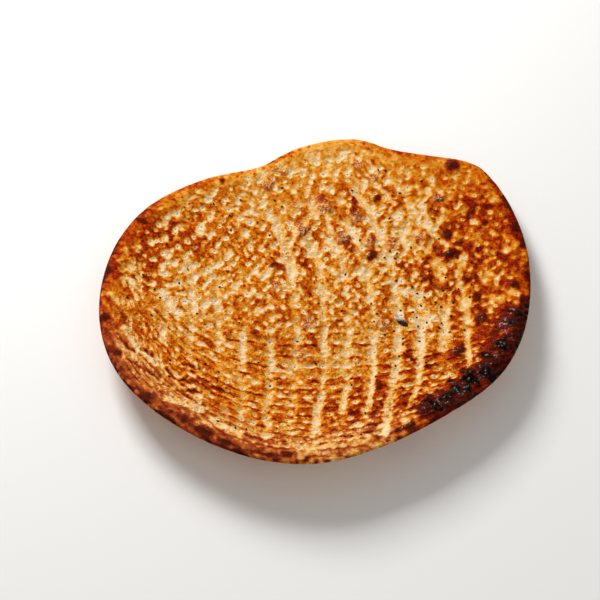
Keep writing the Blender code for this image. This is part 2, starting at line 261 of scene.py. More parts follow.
def bow(crossing, y):
    """Sideways bow of the line through a crossing, and its slope."""
    far = y > BOW_LINE
    rate = np.where(far, BOW_FAR, np.maximum(0, BOW_NEAR + BOW_NEAR_GAIN * crossing))
    return rate * (y - BOW_LINE) ** 2, 2 * rate * (y - BOW_LINE)


def along_y(y, length, layer):
    """Smooth random value that changes along y alone."""
    values = [noise.noise((step / length, layer * 5.37, 0.5)) for step in STEPS_ALONG]
    return np.interp(y, STEPS_ALONG, values)


def furrow_at(x, y):
    """From 0 on plain dough to 1 in the bottom of the deepest furrow."""
    best = np.zeros_like(x)
    for number, (crossing, near, far, strength) in enumerate(FURROWS):
        offset, slope = bow(crossing, y)
        offset = offset + MEANDER * along_y(y, MEANDER_LENGTH, number)
        across = (x - crossing + offset) / np.hypot(1, slope)
        half = FURROW_HALF * (1 + WIDENING * along_y(y, WIDENING_LENGTH, number + 20))
        worn = np.clip(0.80 + FADING * along_y(y, FADING_LENGTH, number + 40), FAINTEST, 1)
        ends = smooth_step(near - FURROW_FADE, near + FURROW_FADE, y)
        ends *= smooth_step(far + FURROW_FADE, far - FURROW_FADE, y)
        best = np.maximum(best, strength * worn * ends * np.exp(-(across / half) ** 2))
    return best


def face_share(field, limit):
    """Share of the face's points where a field is above a limit, for the printed notes."""
    return round(float((field[is_face] > limit).mean()), 3)


furrow = furrow_at(x, y)
print("furrowed share of the face:", face_share(furrow, 0.4))

# %% [markdown]
# ## Rows of pricks
# Between two furrows lie four lines of pricks, each half a step out of line with the next.
# At the front they stand in rows that follow the edge, and there the dough is pushed up into
# ripples, closer together towards the rim; at the back they are scattered more loosely.  The
# lines come from the furrow table, and a random push makes them look like handwork.

# %% Rows across the lines
ROW_STEPS = ((-0.145, 0.0082), (-0.080, 0.0124), (0.000, 0.0124), (0.030, 0.0142))
ROW_BEND, ROW_BEND_FROM, ROW_BEND_TO = 1.9, 0.0, -0.16
LEFT_BEND, LEFT_FROM = 3.8, -0.05                   # on the left the rows climb with the rim
ROWS_FROM, ROWS_TO, ROWS_LEAN = -0.015, -0.060, 0.25    # where scattered pricks turn into rows
ROW_ROUNDS = 12                                     # enough to settle
row_scale = np.linspace(-0.26, 0.26, 1041)
row_steps = np.interp(row_scale, *np.array(ROW_STEPS).T)
row_count = np.cumsum((row_scale[1] - row_scale[0]) / row_steps)


def row_bend(x, row):
    """How much higher a row lies there than where it crosses the middle, and its slope."""
    front = ROW_BEND * smooth_step(ROW_BEND_FROM, ROW_BEND_TO, row)
    left = np.minimum(x - LEFT_FROM, 0)
    return LEFT_BEND * left * left + front * x * x, 2 * LEFT_BEND * left + 2 * front * x


def row_of(x, y):
    """The row that a place belongs to, as the y at which that row crosses the middle."""
    row = y.copy()
    for _ in range(ROW_ROUNDS):
        row = y - row_bend(x, row)[0]
    return row


def rows_there(x, y):
    """From 0 where the pricks are scattered to 1 where they stand in rows."""
    return smooth_step(ROWS_FROM, ROWS_TO, y + ROWS_LEAN * np.minimum(x - LEFT_FROM, 0))


print("rows:", int(row_count[-1]))

# %% Prick places
LINES_PER_RIB, LINE_GAP, OUTER_LINES = 4, 0.0058, 14
STRAY_IN_ROWS, STRAY_BEHIND = 0.0010, 0.0013    # how far a prick strays from its place
MISSED_SHARE, PRICK_FREE_RIM = 0.05, 0.945
rng = np.random.default_rng(7)


def prick_places():
    crossings = [furrow[0] for furrow in FURROWS]
    lines = []
    for left, right in zip(crossings, crossings[1:]):
        lines += [left + (right - left) * step / LINES_PER_RIB for step in range(LINES_PER_RIB)]
    lines += [crossings[-1] + LINE_GAP * step for step in range(OUTER_LINES)]
    lines += [crossings[0] - LINE_GAP * step for step in range(1, OUTER_LINES + 1)]
    spots = []
    for number, crossing in enumerate(sorted(lines)):
        row = np.interp(np.arange(int(row_count[-1])) + 0.5 * (number % 2), row_count, row_scale)
        across = crossing - bow(crossing, row)[0]
        spots.append(np.stack([across, row + row_bend(across, row)[0]], 1))
    spots = np.concatenate(spots)
    stray = STRAY_BEHIND + (STRAY_IN_ROWS - STRAY_BEHIND) * rows_there(spots[:, 0], spots[:, 1])
    spots += rng.normal(0, 1, spots.shape) * stray[:, None]
    kept = rng.uniform(0, 1, len(spots)) > MISSED_SHARE
    return spots[kept & (polar(spots[:, 0], spots[:, 1])[1] < PRICK_FREE_RIM)]


pricks = prick_places()
print(len(pricks), "pricks")

# %% [markdown]
# ## One mark for each prick
# No two pricks are alike: each has its own size, depth, paleness, length and direction.  In
# the rows they lie across, further back they lie along the furrows.  For every point of the
# face we look up the three nearest pricks and how far away they are, counted in their size.

# %% Size, depth and direction of each prick
FAINT_HALF_WAY = 0.35                           # pricks half way between two rows are fainter
SIZE_SPREAD, PALE_SPREAD, LONG_SPREAD, TURN_SPREAD = 0.26, 0.35, 0.55, 0.35
prick_row = row_of(pricks[:, 0], pricks[:, 1])
half_way = np.abs(np.sin(math.pi * np.interp(prick_row, row_scale, row_count)))
faint = 1 - FAINT_HALF_WAY * half_way * rows_there(pricks[:, 0], pricks[:, 1])
prick_size = np.clip(rng.lognormal(0, SIZE_SPREAD, len(pricks)), 0.55, 1.7) * faint
prick_deep = rng.uniform(0.45, 1.2, len(pricks)) * faint
prick_pale = np.clip(rng.normal(0.95, PALE_SPREAD, len(pricks)), 0.1, 1.4) * faint
prick_long = 1.1 + np.clip(np.abs(rng.normal(0, LONG_SPREAD, len(pricks))), 0, 1.4)
furrow_slope = np.where(pricks[:, 1] > BOW_LINE, 2 * BOW_FAR * (pricks[:, 1] - BOW_LINE), 0)
prick_turn = np.arctan2(1, -furrow_slope) + rng.normal(0, TURN_SPREAD, len(pricks))
print("sizes from", prick_size.min().round(2), "to", prick_size.max().round(2))

# %% The nearest pricks of every point
NEIGHBOURS = 3
STEADY_IN_ROWS = 0.6                            # the rows drift less than what is scattered
in_rows = rows_there(x, y)
loose = 1 - STEADY_IN_ROWS * in_rows
drift_x = x + loose * grains(x, y, (0.0024, 0.019, 20.0), (0.0010, 0.0048, 22.0))
drift_y = y + loose * grains(x, y, (0.0030, 0.017, 21.0), (0.0010, 0.0048, 23.0))
row = row_of(drift_x, drift_y)
row_length = np.hypot(1, row_bend(drift_x, row)[1])
finder = KDTree(len(pricks))
for index, (px, py) in enumerate(pricks):
    finder.insert((px, py, 0), index)
finder.balance()
near_ones = np.array([[found[1] for found in finder.find_n((a, b, 0), NEIGHBOURS)]
                      for a, b in zip(drift_x, drift_y)])
to_prick = np.stack([drift_x, drift_y], 1) - pricks[near_ones[:, 0]]
prick_gap = np.hypot(to_prick[:, 0], to_prick[:, 1])
farthest = 1000 * float(prick_gap[share < 0.9].max())
print("a point of the face is at most", round(farthest, 1), "mm from a prick")

# %% Distance counted in marks
MARK_HALF, ROW_MARK_HALF = 0.0029, 0.0025
WAY_ACROSS, WAY_IN_ROWS = 0.35, 0.70            # how much of its length a mark shows


def gap_in_marks(chosen):
    """Distance of every point to its chosen prick, in half widths of that prick's mark."""
    away_x, away_y = drift_x - pricks[chosen, 0], drift_y - pricks[chosen, 1]
    cos, sin = np.cos(prick_turn[chosen]), np.sin(prick_turn[chosen])
    long_way = (away_x * cos + away_y * sin) / (1 + WAY_ACROSS * (prick_long[chosen] - 1))
    lying = np.hypot(long_way, away_y * cos - away_x * sin)
    off_row = (row - prick_row[chosen]) / row_length
    level_way = away_x * row_length / (1 + WAY_IN_ROWS * (prick_long[chosen] - 1))
    in_row = np.hypot(level_way, off_row)
    lying, in_row = lying / MARK_HALF, in_row / ROW_MARK_HALF
    return (lying * (1 - in_rows) + in_row * in_rows) / prick_size[chosen]


mark_gaps = [gap_in_marks(near_ones[:, number]) for number in range(NEIGHBOURS)]
print("share of the face inside a mark:", round(1 - face_share(mark_gaps[0], 1.0), 3))

# %% [markdown]
# ## Streaks that follow the fingers
# Plain noise looks the same in all directions, but this dough was drawn out.  We bend the
# noise: behind, it is stretched along the furrows, and in front it is stretched along the
# rows.

# %% Drawn-out noise
def drawn_grain(narrow, long, layer):
    """Noise that is narrow across the pull of the fingers and long in its direction."""
    crossing = x.copy()
    for _ in range(4):
        crossing = x + bow(crossing, y)[0]
    behind = np.array([noise.noise((a / narrow, b / long, layer)) for a, b in zip(crossing, y)])
    in_front = np.array([noise.noise((a / long, b / narrow, layer + 0.5)) for a, b in zip(x, row)])
    return behind * (1 - in_rows) + in_front * in_rows


fleck = drawn_grain(0.0030, 0.0058, 50.0)
streak = drawn_grain(0.0075, 0.0170, 60.0)
print("flecks from", round(float(fleck.min()), 2), "to", round(float(fleck.max()), 2))

# %% [markdown]
# ## Pale strokes
# Where the fingers lifted off or a blister kept the fire away, the dough stayed pale in short
# strokes.  They are laid over the face one by one: start, end and half width of each.

# %% Table of strokes
PALE_STROKES = metres((  # mm: x and y of the start and of the end, half width; then strength
    (38.8, 118.8, 57, 93, 3.8, 1), (54, 86, 62, 63, 3.6, 0.9), (29.7, 86.8, 40.5, 59, 4.2, 0.9),
    (55.6, 134, 69.3, 117, 2.6, 0.9), (69.3, 117, 75.4, 106.6, 3.4, 0.8),
    (106, 138.6, 122.7, 117.3, 2.2, 0.7), (101.3, 106.6, 119.6, 61, 3.4, 0.9),
    (99.8, 103.6, 112, 115.8, 2.4, 0.7), (81.5, 97.5, 82.5, 93.5, 5, 0.8),
    (89, 85, 93.7, 55, 3.6, 0.8), (97.5, 46, 98.5, 40, 4, 0.8), (139, 44, 131.8, 6, 3.6, 0.8),
    (-2.4, 102.5, -2.4, 98.5, 4.8, 0.9), (9.8, 94, 14.5, 70, 3, 0.8), (14.5, 62, 18, 54, 5.2, 0.9),
    (-5.4, 54.5, -5, 51.5, 7.2, 1), (64, 43, 70, 41.5, 4.8, 0.8), (40, 28, 44, 26, 5, 0.8),
    (7, 125.5, 13, 124.5, 3.6, 0.8), (-5.4, 163, -4, 158, 5, 0.5), (10, 156, 12.5, 150, 5, 0.5),
    (4.5, -107, -0.9, -125.5, 4.2, 1), (-0.9, -125.5, -3.1, -148, 3.8, 1),
    (5.5, -37, 6.8, -61, 3.2, 0.8), (26.6, -98, 20.5, -124, 3.6, 0.8),
    (30.4, -37, 29.7, -49, 3.4, 0.9), (51.8, -50.7, 51, -82.8, 3, 1),
    (51, -82.8, 44.5, -120.5, 3, 1), (73.9, -37, 73.1, -61, 3.4, 0.8),
    (72.5, -68, 63.2, -113, 3.2, 0.9), (62.5, -116, 58.6, -131.6, 3.6, 1),
    (58.6, -131.6, 57.2, -157, 3, 0.9), (95.2, -24.8, 94.5, -61.4, 3.6, 1),
    (94.5, -61.4, 88, -103, 3.6, 1), (88, -103, 80.5, -125, 2.2, 1), (118.9, -24, 118, -46, 5, 0.9),
    (115, -46, 110, -62, 3.6, 0.7), (140.2, -6.5, 137.2, -37, 3, 0.9),
    (137.2, -37, 135.8, -74, 3, 1), (136.4, -76.7, 133.4, -85.8, 2.4, 0.8),
    (159, -20, 159, -24.5, 3, 0.8), (160, -7.5, 164, -8.5, 4, 0.7),
    (112, -94.5, 118.5, -92, 3, 0.9), (101, -107.5, 104.5, -106.5, 2, 0.9),
    (99, -128, 100.5, -130, 3.4, 0.6), (74, -143, 76.5, -148, 4.2, 0.6),
    (-189, -11, -183, -20, 3, 0.7), (-145, 1, -134, -16, 4.6, 1), (-134, -16, -130, -22, 4, 1),
    (-96, -5, -92, -13, 4.4, 0.9), (-117.6, 4, -113, -17, 3.2, 0.8),
    (-140.4, -41.6, -142, -53.8, 2.8, 0.8), (-69, -41.6, -68, -70.6, 3.2, 0.9),
    (-43.6, -50.7, -41.3, -76.7, 2.8, 0.9), (-41.3, -76.7, -26.5, -80, 2.6, 0.9),
    (-175.5, -44.6, -161.8, -67.5, 3, 0.8), (-161.8, -67.5, -145, -82.8, 2.6, 0.8),
    (-132, -122, -102, -130, 3.6, 0.7), (-93, -140.7, -68.8, -154.4, 3.6, 0.7),
    (-41.3, 88.3, -33.7, 60.9, 3.6, 0.9), (-34.5, 59, -26, 25, 3, 1), (-28, 59, -20.5, 25, 2.8, 1),
    (-124, 33, -123.5, 27, 5.5, 0.9), (-114.5, 114.5, -108.5, 113.5, 2.6, 0.8),
    (-56.6, 140, -49, 125, 3.6, 0.7), (-36, 150, -31.5, 148, 5.2, 0.8),
    (-20, 149.5, -20, 146, 3.6, 0.7), (-11, 87, -10, 83, 4, 0.7),
), 5)
print(len(PALE_STROKES), "strokes")

# %% Lay the strokes
FRAYED_ENDS = 1.3


def gap_to_stroke(x, y, start, end):
    """Distance from each point to the straight stroke between two places."""
    step = np.subtract(end, start)
    along = np.clip(((x - start[0]) * step[0] + (y - start[1]) * step[1]) / (step @ step), 0, 1)
    return np.hypot(x - start[0] - along * step[0], y - start[1] - along * step[1])


frayed = grains(x, y, (0.55, 0.0052, 31.0), (0.30, 0.0027, 32.0))
worn_stroke = np.clip(0.92 + 0.7 * grain(x, y, 0.0080, 37.0), 0.45, 1)
stroke = np.zeros_like(x)
for start_x, start_y, end_x, end_y, half, strength in PALE_STROKES:
    gap = gap_to_stroke(x, y, (start_x, start_y), (end_x, end_y)) / half
    paleness = strength * worn_stroke * smooth_step(1.20, 0.45, gap + FRAYED_ENDS * frayed)
    stroke = np.maximum(stroke, paleness)
print("share of the face under strokes:", face_share(stroke, 0.4))

# %% [markdown]
# ## Long creases
# At the front left the soft dough sagged a little before it set, and lay in long creases that
# follow the rim.  They are few and each one is seen, so they too are listed one by one, as chains
# of points.

# %% Creases
CREASES = [metres(chain, 2) for chain in (  # mm: x and y along each crease
    ((-172, -50), (-165, -59), (-160, -68), (-155, -69), (-149, -74)),
    ((-180, -55), (-170, -69), (-157, -75), (-144, -90), (-135, -100), (-125, -109), (-115, -117),
     (-99, -126)),
    ((-170, -82), (-157, -89), (-143, -99), (-132, -107)),
    ((-121, -79), (-117, -78), (-111, -82), (-104, -82)),
    ((-135, -87), (-128, -96), (-121, -98), (-117, -93)),
    ((-118, -111), (-111, -108), (-104, -111)),
    ((-150, -22), (-144, -27), (-139, -34), (-135, -40)),
)]
CREASE_HALF, CREASE_DEPTH, CREASE_LIP, LIP_PLACE = 0.0010, 0.0012, 0.0008, 0.0034
CREASE_FRAY = 0.0008
crease_gap = np.min([gap_to_stroke(x, y, start, end) for chain in CREASES
                     for start, end in zip(chain, chain[1:])], axis=0)
crease_gap += CREASE_FRAY * np.abs(frayed)
# in the browning score the crease is painted darker as painted shade, and its lips paler as painted
# highlight
crease_and_shade = np.exp(-(crease_gap / CREASE_HALF) ** 2)
lip_and_highlight = np.exp(-((crease_gap - LIP_PLACE) / (0.5 * LIP_PLACE)) ** 2)
print("creased share of the face:", face_share(crease_and_shade, 0.4))

# %% [markdown]
# ## Blisters
# Where the dough was thin, steam lifted it into blisters, and these face the fire and brown first.
# The large ones are listed one by one, round ones and long ones that lie along the pull of the
# fingers.  A dome with a ragged foot stands for each, and they are not added but the highest one
# counts, so that two blisters that touch do not pile up.

# %% Blister lists
BLISTERS = metres((  # mm: x, y, radius, height
    (164, -66, 11, 3.4), (150, -88, 10, 3.6), (134, -95, 8, 3), (128, -109, 9, 3.2),
    (114, -123, 10, 3.4), (92, -129, 9, 2.6), (181, -38, 9, 2.6), (181, 4, 8, 2.2),
    (127, 46, 10, 2.4), (134, 146, 10, 2.2), (53, 46, 7, 2.8), (26, 68, 9, 2.6), (9, 106, 9, 2.4),
    (37, 99, 10, 2.2), (106, 68, 9, 2.6), (-13, 74, 12, 2.8), (-50, 128, 9, 2.6), (-41, 33, 8, 2),
    (-35, -18, 12, 1.8), (-146, -94, 10, 2), (149, -31, 10, 2.2), (127, -66, 10, 2.2),
    (-196, -36, 8, 1.8), (-103, -98, 12, 2),
), 4)
LONG_BLISTERS = metres((  # mm: x and y of the start and of the end, half width, height
    (19, 79, 34, 55, 5, 2.4), (5, 114, 14, 100, 4.4, 2), (103, 74, 107, 66, 5.2, 2.6),
    (52, 70, 54, 64, 4, 1.8), (30, 122, 36, 112, 4, 1.6), (-58, 138, -50, 130, 5, 1.6),
), 6)
print(len(BLISTERS), "round and", len(LONG_BLISTERS), "long blisters")

# %% Domes
FRAYED_DOME, FRAYED_LONG = 0.30, 0.35


def dome(x, y, centre, size, height):
    apart = np.hypot(x - centre[0], y - centre[1]) / size + FRAYED_DOME * frayed
    return height * np.clip(1 - apart * apart, 0, 1) ** 1.5


blister = np.zeros_like(x)
for centre_x, centre_y, size, height in BLISTERS:
    blister = np.maximum(blister, dome(x, y, (centre_x, centre_y), size, height))
for start_x, start_y, end_x, end_y, half, height in LONG_BLISTERS:
    gap = gap_to_stroke(x, y, (start_x, start_y), (end_x, end_y)) / half + FRAYED_LONG * frayed
    blister = np.maximum(blister, height * np.clip(1 - gap * gap, 0, 1))
print("highest blister", round(1000 * float(blister.max()), 1), "mm")

# %% [markdown]
# ## Scorched bubbles and small blisters
# At the front right the rim hung closest to the fire.  It boiled up in a crowd of small black
# bubbles that follow the rim.  Elsewhere very small blisters are strewn over the face, except
# in furrows and pale strokes.  Both come from a seeded draw, so they are the same each time.

# %% Bubbles along the scorched rim
SCORCHED_ROUTE = metres((  # mm: x and y along the rim
    (184, -34), (178, -52), (164, -74), (146, -92), (120, -116), (96, -129),
), 2)
SCORCHED_BUBBLES, BUBBLE_STRAY, CHAR_REACH = 130, 0.0065, 1.25
SMALL_BLISTERS, FARTHEST_OUT = 420, 0.21
route = np.array(SCORCHED_ROUTE)
bubble, bubble_char = np.zeros_like(x), np.zeros_like(x)
for _ in range(SCORCHED_BUBBLES):
    place = rng.uniform(0, len(route) - 1)
    start = int(place)
    centre = route[start] + (route[start + 1] - route[start]) * (place - start)
    centre = centre + rng.normal(0, BUBBLE_STRAY, 2)
    size, height = rng.uniform(0.0020, 0.0050), rng.uniform(0.0008, 0.0024)
    bubble = np.maximum(bubble, dome(x, y, centre, size, height))
    blackness = dome(x, y, centre, CHAR_REACH * size, rng.uniform(0.3, 1.3))
    bubble_char = np.maximum(bubble_char, blackness)
small = np.zeros_like(x)
for _ in range(SMALL_BLISTERS):
    centre = rng.uniform(-FARTHEST_OUT, FARTHEST_OUT, 2)
    lifted = dome(x, y, centre, rng.uniform(0.0020, 0.0048), rng.uniform(0.0004, 0.0012))
    small = np.maximum(small, lifted)
untouched = 1 - np.clip(furrow + stroke, 0, 1)
small *= untouched
print("bubbled share of the face:", face_share(bubble, 0.0004))

# %% [markdown]
# ## The underside and the rim
# The bread is a dish: flat where it rests, and lifted towards its rim by as much as the table
# of lifts says for each direction.  The rim is rolled, fullest at the front, and drops a
# little at the very edge.

# %% Dish, roll and edge
def sole_height(x, y, share, degrees):
    outside = np.clip((share - FLAT_SHARE) / (1 - FLAT_SHARE), 0, None)
    wave = SOLE_WAVE * smooth_step(0, 0.3, outside) * (grain(x, y, SOLE_WAVE_LENGTH) + 0.5)
    return round_table(RIM_LIFT, degrees) * outside ** LIFT_POWER + wave


sole_z = sole_height(x, y, share, degrees)
fullness = 0.7 + 0.3 * np.cos(np.radians(degrees - FRONT_DEGREES))
roll = RIM_ROLL * fullness * np.exp(-((inset - RIM_ROLL_INSET) / RIM_ROLL_HALF) ** 2)
crest_drop = CREST_DROP * smooth_step(2 * CREST_INSET, CREST_INSET, inset)
on_face = smooth_step(0.0, 0.10, 1 - share)     # nothing is pressed into the very edge
print("underside up to", round(1000 * float(sole_z.max()), 1), "mm above the table")

# %% [markdown]
# ## Pricks and small pale dots
# Each mark is deepest in its middle, and marks that touch run together.  Behind, between the
# pricks, the face has small pale dots as well, where the fingers only touched it.  They come
# from a cell pattern, which spreads them evenly.  On the right side they have burned away.

# %% Depth and paleness of the marks
PRICK_DEPTH, DEPTH_BEHIND = 0.0022, 0.72        # behind the rows the pricks are shallower
MARK_WIDTH, PALE_FALL = (1.15, 0.1), 1.35       # how far a mark's dent and its paleness reach
DOT_GAP, DOT_LAYER, DOT_EDGE = 0.0066, 8.0, (0.48, 0.12)
DOT_PALE, DOT_DEEP, FEWER_ON_THE_RIGHT = 0.50, 0.3, 0.6


def prick_marks():
    """Depth and paleness of the marks, both from 0 to about 1."""
    cells = [noise.voronoi((a / DOT_GAP, b / DOT_GAP, DOT_LAYER))[0][0]
             for a, b in zip(drift_x, drift_y)]
    dots = smooth_step(*DOT_EDGE, np.array(cells)) * (1 - in_rows)
    dots *= 1 - FEWER_ON_THE_RIGHT * right_side
    deep, pale = DOT_DEEP * dots, DOT_PALE * dots
    for number, gap in enumerate(mark_gaps):
        chosen = near_ones[:, number]
        deep = np.maximum(deep, prick_deep[chosen] * smooth_step(*MARK_WIDTH, gap))
        pale += prick_pale[chosen] * np.exp(-PALE_FALL * gap * gap)
    return deep, smooth_step(0.08, 0.95, pale + (0.18 + 0.10 * in_rows) * frayed)


right_side = smooth_step(0.095, 0.150, x + 0.25 * y) * smooth_step(-0.09, -0.03, y)
dimple, pricked_pale = prick_marks()
dimple *= DEPTH_BEHIND + (1 - DEPTH_BEHIND) * in_rows
print("marked share of the face:", face_share(pricked_pale, 0.5))

# %% [markdown]
# ## Ripples and crevices
# In front, each row of pricks pushed the dough up into a ripple that falls off steeply towards the
# rim, and at the foot of some ripples the skin tore open into a crevice. The crevice's dark line is
# painted shade under that steep fall, added to the browning score.
# Their row number is shaken a little, or the crevices would look ruled.

# %% Ripples between the rows
RIPPLE, RIPPLE_SHARE, FALL_SHARE, RIPPLE_LEVEL = 0.0018, 0.6, 0.7, 0.6
CREVICE_DEPTH, CREVICE_PLACE, CREVICE_HALF = 0.0006, 0.30, 0.075    # place and width in steps
CREVICE_SHAKE = 0.20
FURROW_CUTS = 0.75                              # how much of a ripple a furrow takes away
row_number = np.interp(row, row_scale, row_count)
ripple_shape = np.abs(np.sin(math.pi * row_number))
wavy_row = row_number + CREVICE_PLACE + CREVICE_SHAKE * grain(x, y, 0.0085, 38.0)
from_crevice = (wavy_row + 0.5) % 1 - 0.5
more_in_front = 0.32 * smooth_step(-0.085, -0.115, row)
torn_open = smooth_step(-0.02, 0.30, streak + 0.5 * fleck + more_in_front)
crevice_and_shade = np.exp(-(from_crevice / CREVICE_HALF) ** 2) * torn_open * in_rows * untouched
crevice_and_shade *= 1 - 0.6 * smooth_step(-0.09, -0.12, x) * smooth_step(-0.09, -0.06, y)
rippled = in_rows * on_face * (1 - FURROW_CUTS * furrow)
fall = (0.5 - wavy_row % 1) * torn_open * rippled
uneven = np.clip(0.55 + 0.9 * grain(x, y, 0.016, 33.0), 0, 1)
ripple = (ripple_shape - RIPPLE_LEVEL) * rippled * uneven
print("torn share of the face:", face_share(crevice_and_shade, 0.4))

# %% [markdown]
# ## Ridges along the front left rim
# There the dough was dragged into long ridges that run beside the rim.  Their phase is the
# distance to the edge, shaken by two random fields, and they die out on both sides.

# %% Ridges
RIDGE, RIDGE_STEP, RIDGE_LEVEL, RIDGE_ROUND = 0.0014, 0.0092, 0.6, 0.8
front_left = smooth_step(185, 205, degrees % 360) * smooth_step(275, 250, degrees % 360)
ridge_phase = (inset + grains(x, y, (0.0050, 0.040, 34.0), (0.0014, 0.012, 35.0))) / RIDGE_STEP
ridge = np.abs(np.sin(math.pi * ridge_phase)) ** RIDGE_ROUND - RIDGE_LEVEL
ridge *= front_left * smooth_step(0.014, 0.022, inset) * smooth_step(0.062, 0.046, inset)
ridge *= np.clip(0.7 + 1.1 * grain(x, y, 0.020, 36.0), 0, 1.2)
print("ridged share of the face:", face_share(ridge, 0.1))

# %% [markdown]
# ## The height of every point
# Now the parts add up: the dish, the slab, the roll and the swells, less what is pressed in,
# plus what is lifted.  This is sculpting by rule.  A brush could do it by hand, but a rule
# can be changed and run again.  The edge is laid between the face and the underside.

# %% Heights
STROKE_DEPTH, PRICKS_IN_FURROWS = 0.0007, 0.4   # pricks in a furrow are that much shallower
LUMPS = ((0.0006, 0.011, 0.5), (0.00045, 0.0055, 0.7), (0.0003, 0.0031, 0.9))
pressed_in = (FURROW_DEPTH * furrow + STROKE_DEPTH * stroke + CREVICE_DEPTH * crevice_and_shade
              + PRICK_DEPTH * dimple * (1 - PRICKS_IN_FURROWS * furrow)
              + CREASE_DEPTH * crease_and_shade - CREASE_LIP * lip_and_highlight) * on_face
lifted = (blister + bubble + small * on_face + RIDGE * ridge
          + RIPPLE * (RIPPLE_SHARE * ripple + FALL_SHARE * fall))
swells = SWELL * grain(x, y, SWELL_LENGTH, 1.0) + grains(x, y, *LUMPS)
face_z = sole_z + SLAB + roll - crest_drop + swells - pressed_in + lifted
mid_z, half_z = (sole_z + face_z) / 2, (face_z - sole_z) / 2
z = mid_z + half_z * np.cos(edge_turn)
z[is_face] = face_z[is_face]
z[is_sole] = sole_z[is_sole]
points = np.stack([x - PLAN_MIDDLE[0], y - PLAN_MIDDLE[1], z], 1)
crust.data.vertices.foreach_set("co", points.ravel())
crust.data.update()
print("crust, mm:", [round(1000 * float(side), 1) for side in np.ptp(points, axis=0)])

# %% Turn all faces outwards
pick(crust)
mode("EDIT")
bpy.ops.mesh.select_all(action="SELECT")
bpy.ops.mesh.normals_make_consistent(inside=False)
mode("OBJECT")
bpy.ops.object.shade_smooth()
print("the middle of the face looks up:", crust.data.polygons[0].normal.z > 0)

# %% [markdown]
# ## Where the fire was near
# Browning is heat plus distance to the fire.  Whole regions of the bread were nearer to it than
# others.  Each spot of the first table warms or cools its surroundings, and the second table does
# the same along the rim.  On the left and front left the second table also paints shade on the rim,
# along with its real browning.

# %% Heat of each region
HEAT = metres((  # mm: x, y, radius; then amount
    (165, 40, 60, 0.4), (185, -60, 50, 0.6), (125, -130, 35, 0.4), (150, 110, 40, 0.35),
    (-200, 20, 30, 0.34), (-180, 80, 30, 0.36), (-195, -60, 26, 0.35), (-120, -150, 30, 0.25),
    (-30, -190, 25, 0.1), (-120, 10, 45, -0.3), (30, 20, 35, -0.12), (105, -30, 30, -0.26),
    (75, 80, 35, -0.05), (10, 165, 40, -0.25), (40, -70, 40, -0.08), (-20, 60, 30, -0.08),
    (-110, -95, 22, 0.18), (32, 108, 16, 0.25), (-140, 62, 22, 0.1), (40, -118, 40, 0.22),
    (-50, 6, 30, -0.1), (-62, 100, 34, -0.34), (143, -42, 28, 0.34), (-20, 40, 16, 0.3),
    (-118, 58, 20, 0.26), (60, -20, 16, 0.26), (76, -116, 28, 0.36), (10, -122, 15, 0.4),
    (80, 122, 24, 0.22), (29, 122, 11, 0.3), (80, 166, 20, 0.34), (198, 80, 18, 0.9),
    (108, 44, 13, 0.62), (120, 128, 16, -0.3), (60, -48, 14, -0.22), (32, -72, 16, -0.24),
    (150, 32, 14, 0.45), (-160, 22, 20, 0.44), (112, 26, 14, 0.24), (-50, -22, 13, 0.22),
    (72, -62, 12, 0.25), (30, 2, 12, 0.28), (-110, 122, 13, 0.32), (90, 60, 12, 0.28),
    (-15, 80, 12, 0.26), (-34, 156, 14, 0.3), (190, -20, 12, -0.6), (192, 40, 12, -0.25),
    (170, 0, 30, 0.18), (100, -90, 30, 0.18), (20, -178, 22, -0.25), (50, -160, 18, -0.15),
    (90, 40, 22, 0.22), (-80, -120, 30, -0.06), (130, 82, 14, -0.2), (-30, -105, 24, 0.2),
    (-50, -160, 14, 0.24), (62, -70, 22, 0.16), (-190, -4, 12, -0.28), (90, -140, 16, -0.35),
    (130, -20, 12, 0.3), (-165, -40, 18, 0.2), (-128, 100, 12, -0.24), (-60, 8, 16, -0.14),
    (10, -160, 12, -0.24), (40, 56, 14, -0.18), (-60, -30, 16, -0.12), (100, 140, 14, -0.16),
    (-60, 60, 14, 0.1), (-20, 80, 14, 0.2), (-30, 50, 18, 0.18), (70, 110, 18, 0.16),
    (-30, 100, 12, -0.22), (98, 10, 18, 0.2), (-170, 12, 17, 0.34), (-190, -2, 10, -0.25),
    (-110, -108, 20, -0.22), (-130, -108, 16, -0.16), (120, -105, 16, -0.18), (90, -128, 14, -0.16),
    (42, -40, 14, -0.14), (80, -60, 14, 0.12), (132, -58, 14, 0.14), (190, 82, 12, 0.25),
    (168, 2, 14, -0.18), (150, 122, 12, -0.2), (190, 44, 12, -0.24), (192, -20, 10, -0.4),
    (-30, -48, 10, -0.1), (10, -82, 14, -0.1), (-155, 70, 18, 0.14), (172, 104, 14, -0.25),
    (-83, -80, 22, -0.12), (20, -80, 30, -0.13), (50, -46, 16, -0.2), (-68, -46, 16, -0.13),
    (109, 93, 16, -0.14), (-9, 59, 16, 0.12), (-39, 59, 14, 0.08), (-127, 59, 16, 0.1),
    (109, -46, 14, 0.12), (-68, -115, 16, -0.14), (109, -11, 14, 0.12), (168, -28, 15, 0.34),
), 3)
# on the left and front left this table paints shade on the rim as well as browning
RIM_HEAT_AND_SHADE = (                 # direction in degrees, amount along that part of the rim
    (0, 0.10), (40, 0.10), (70, 0.00), (120, -0.10), (150, 0.15), (180, 0.45), (205, 0.50),
    (235, 0.60), (255, 0.62), (266, 0.15), (278, -0.20), (320, 0.20),
)
heat_and_rim_shade = round_table(RIM_HEAT_AND_SHADE, degrees) * smooth_step(0.030, 0.003, inset)
for centre_x, centre_y, size, amount in HEAT:
    heat_and_rim_shade += amount * np.exp(-((x - centre_x) ** 2 + (y - centre_y) ** 2) / size ** 2)
print("heat from", round(float(heat_and_rim_shade.min()), 2), "to", round(float(heat_and_rim_shade.max()), 2))
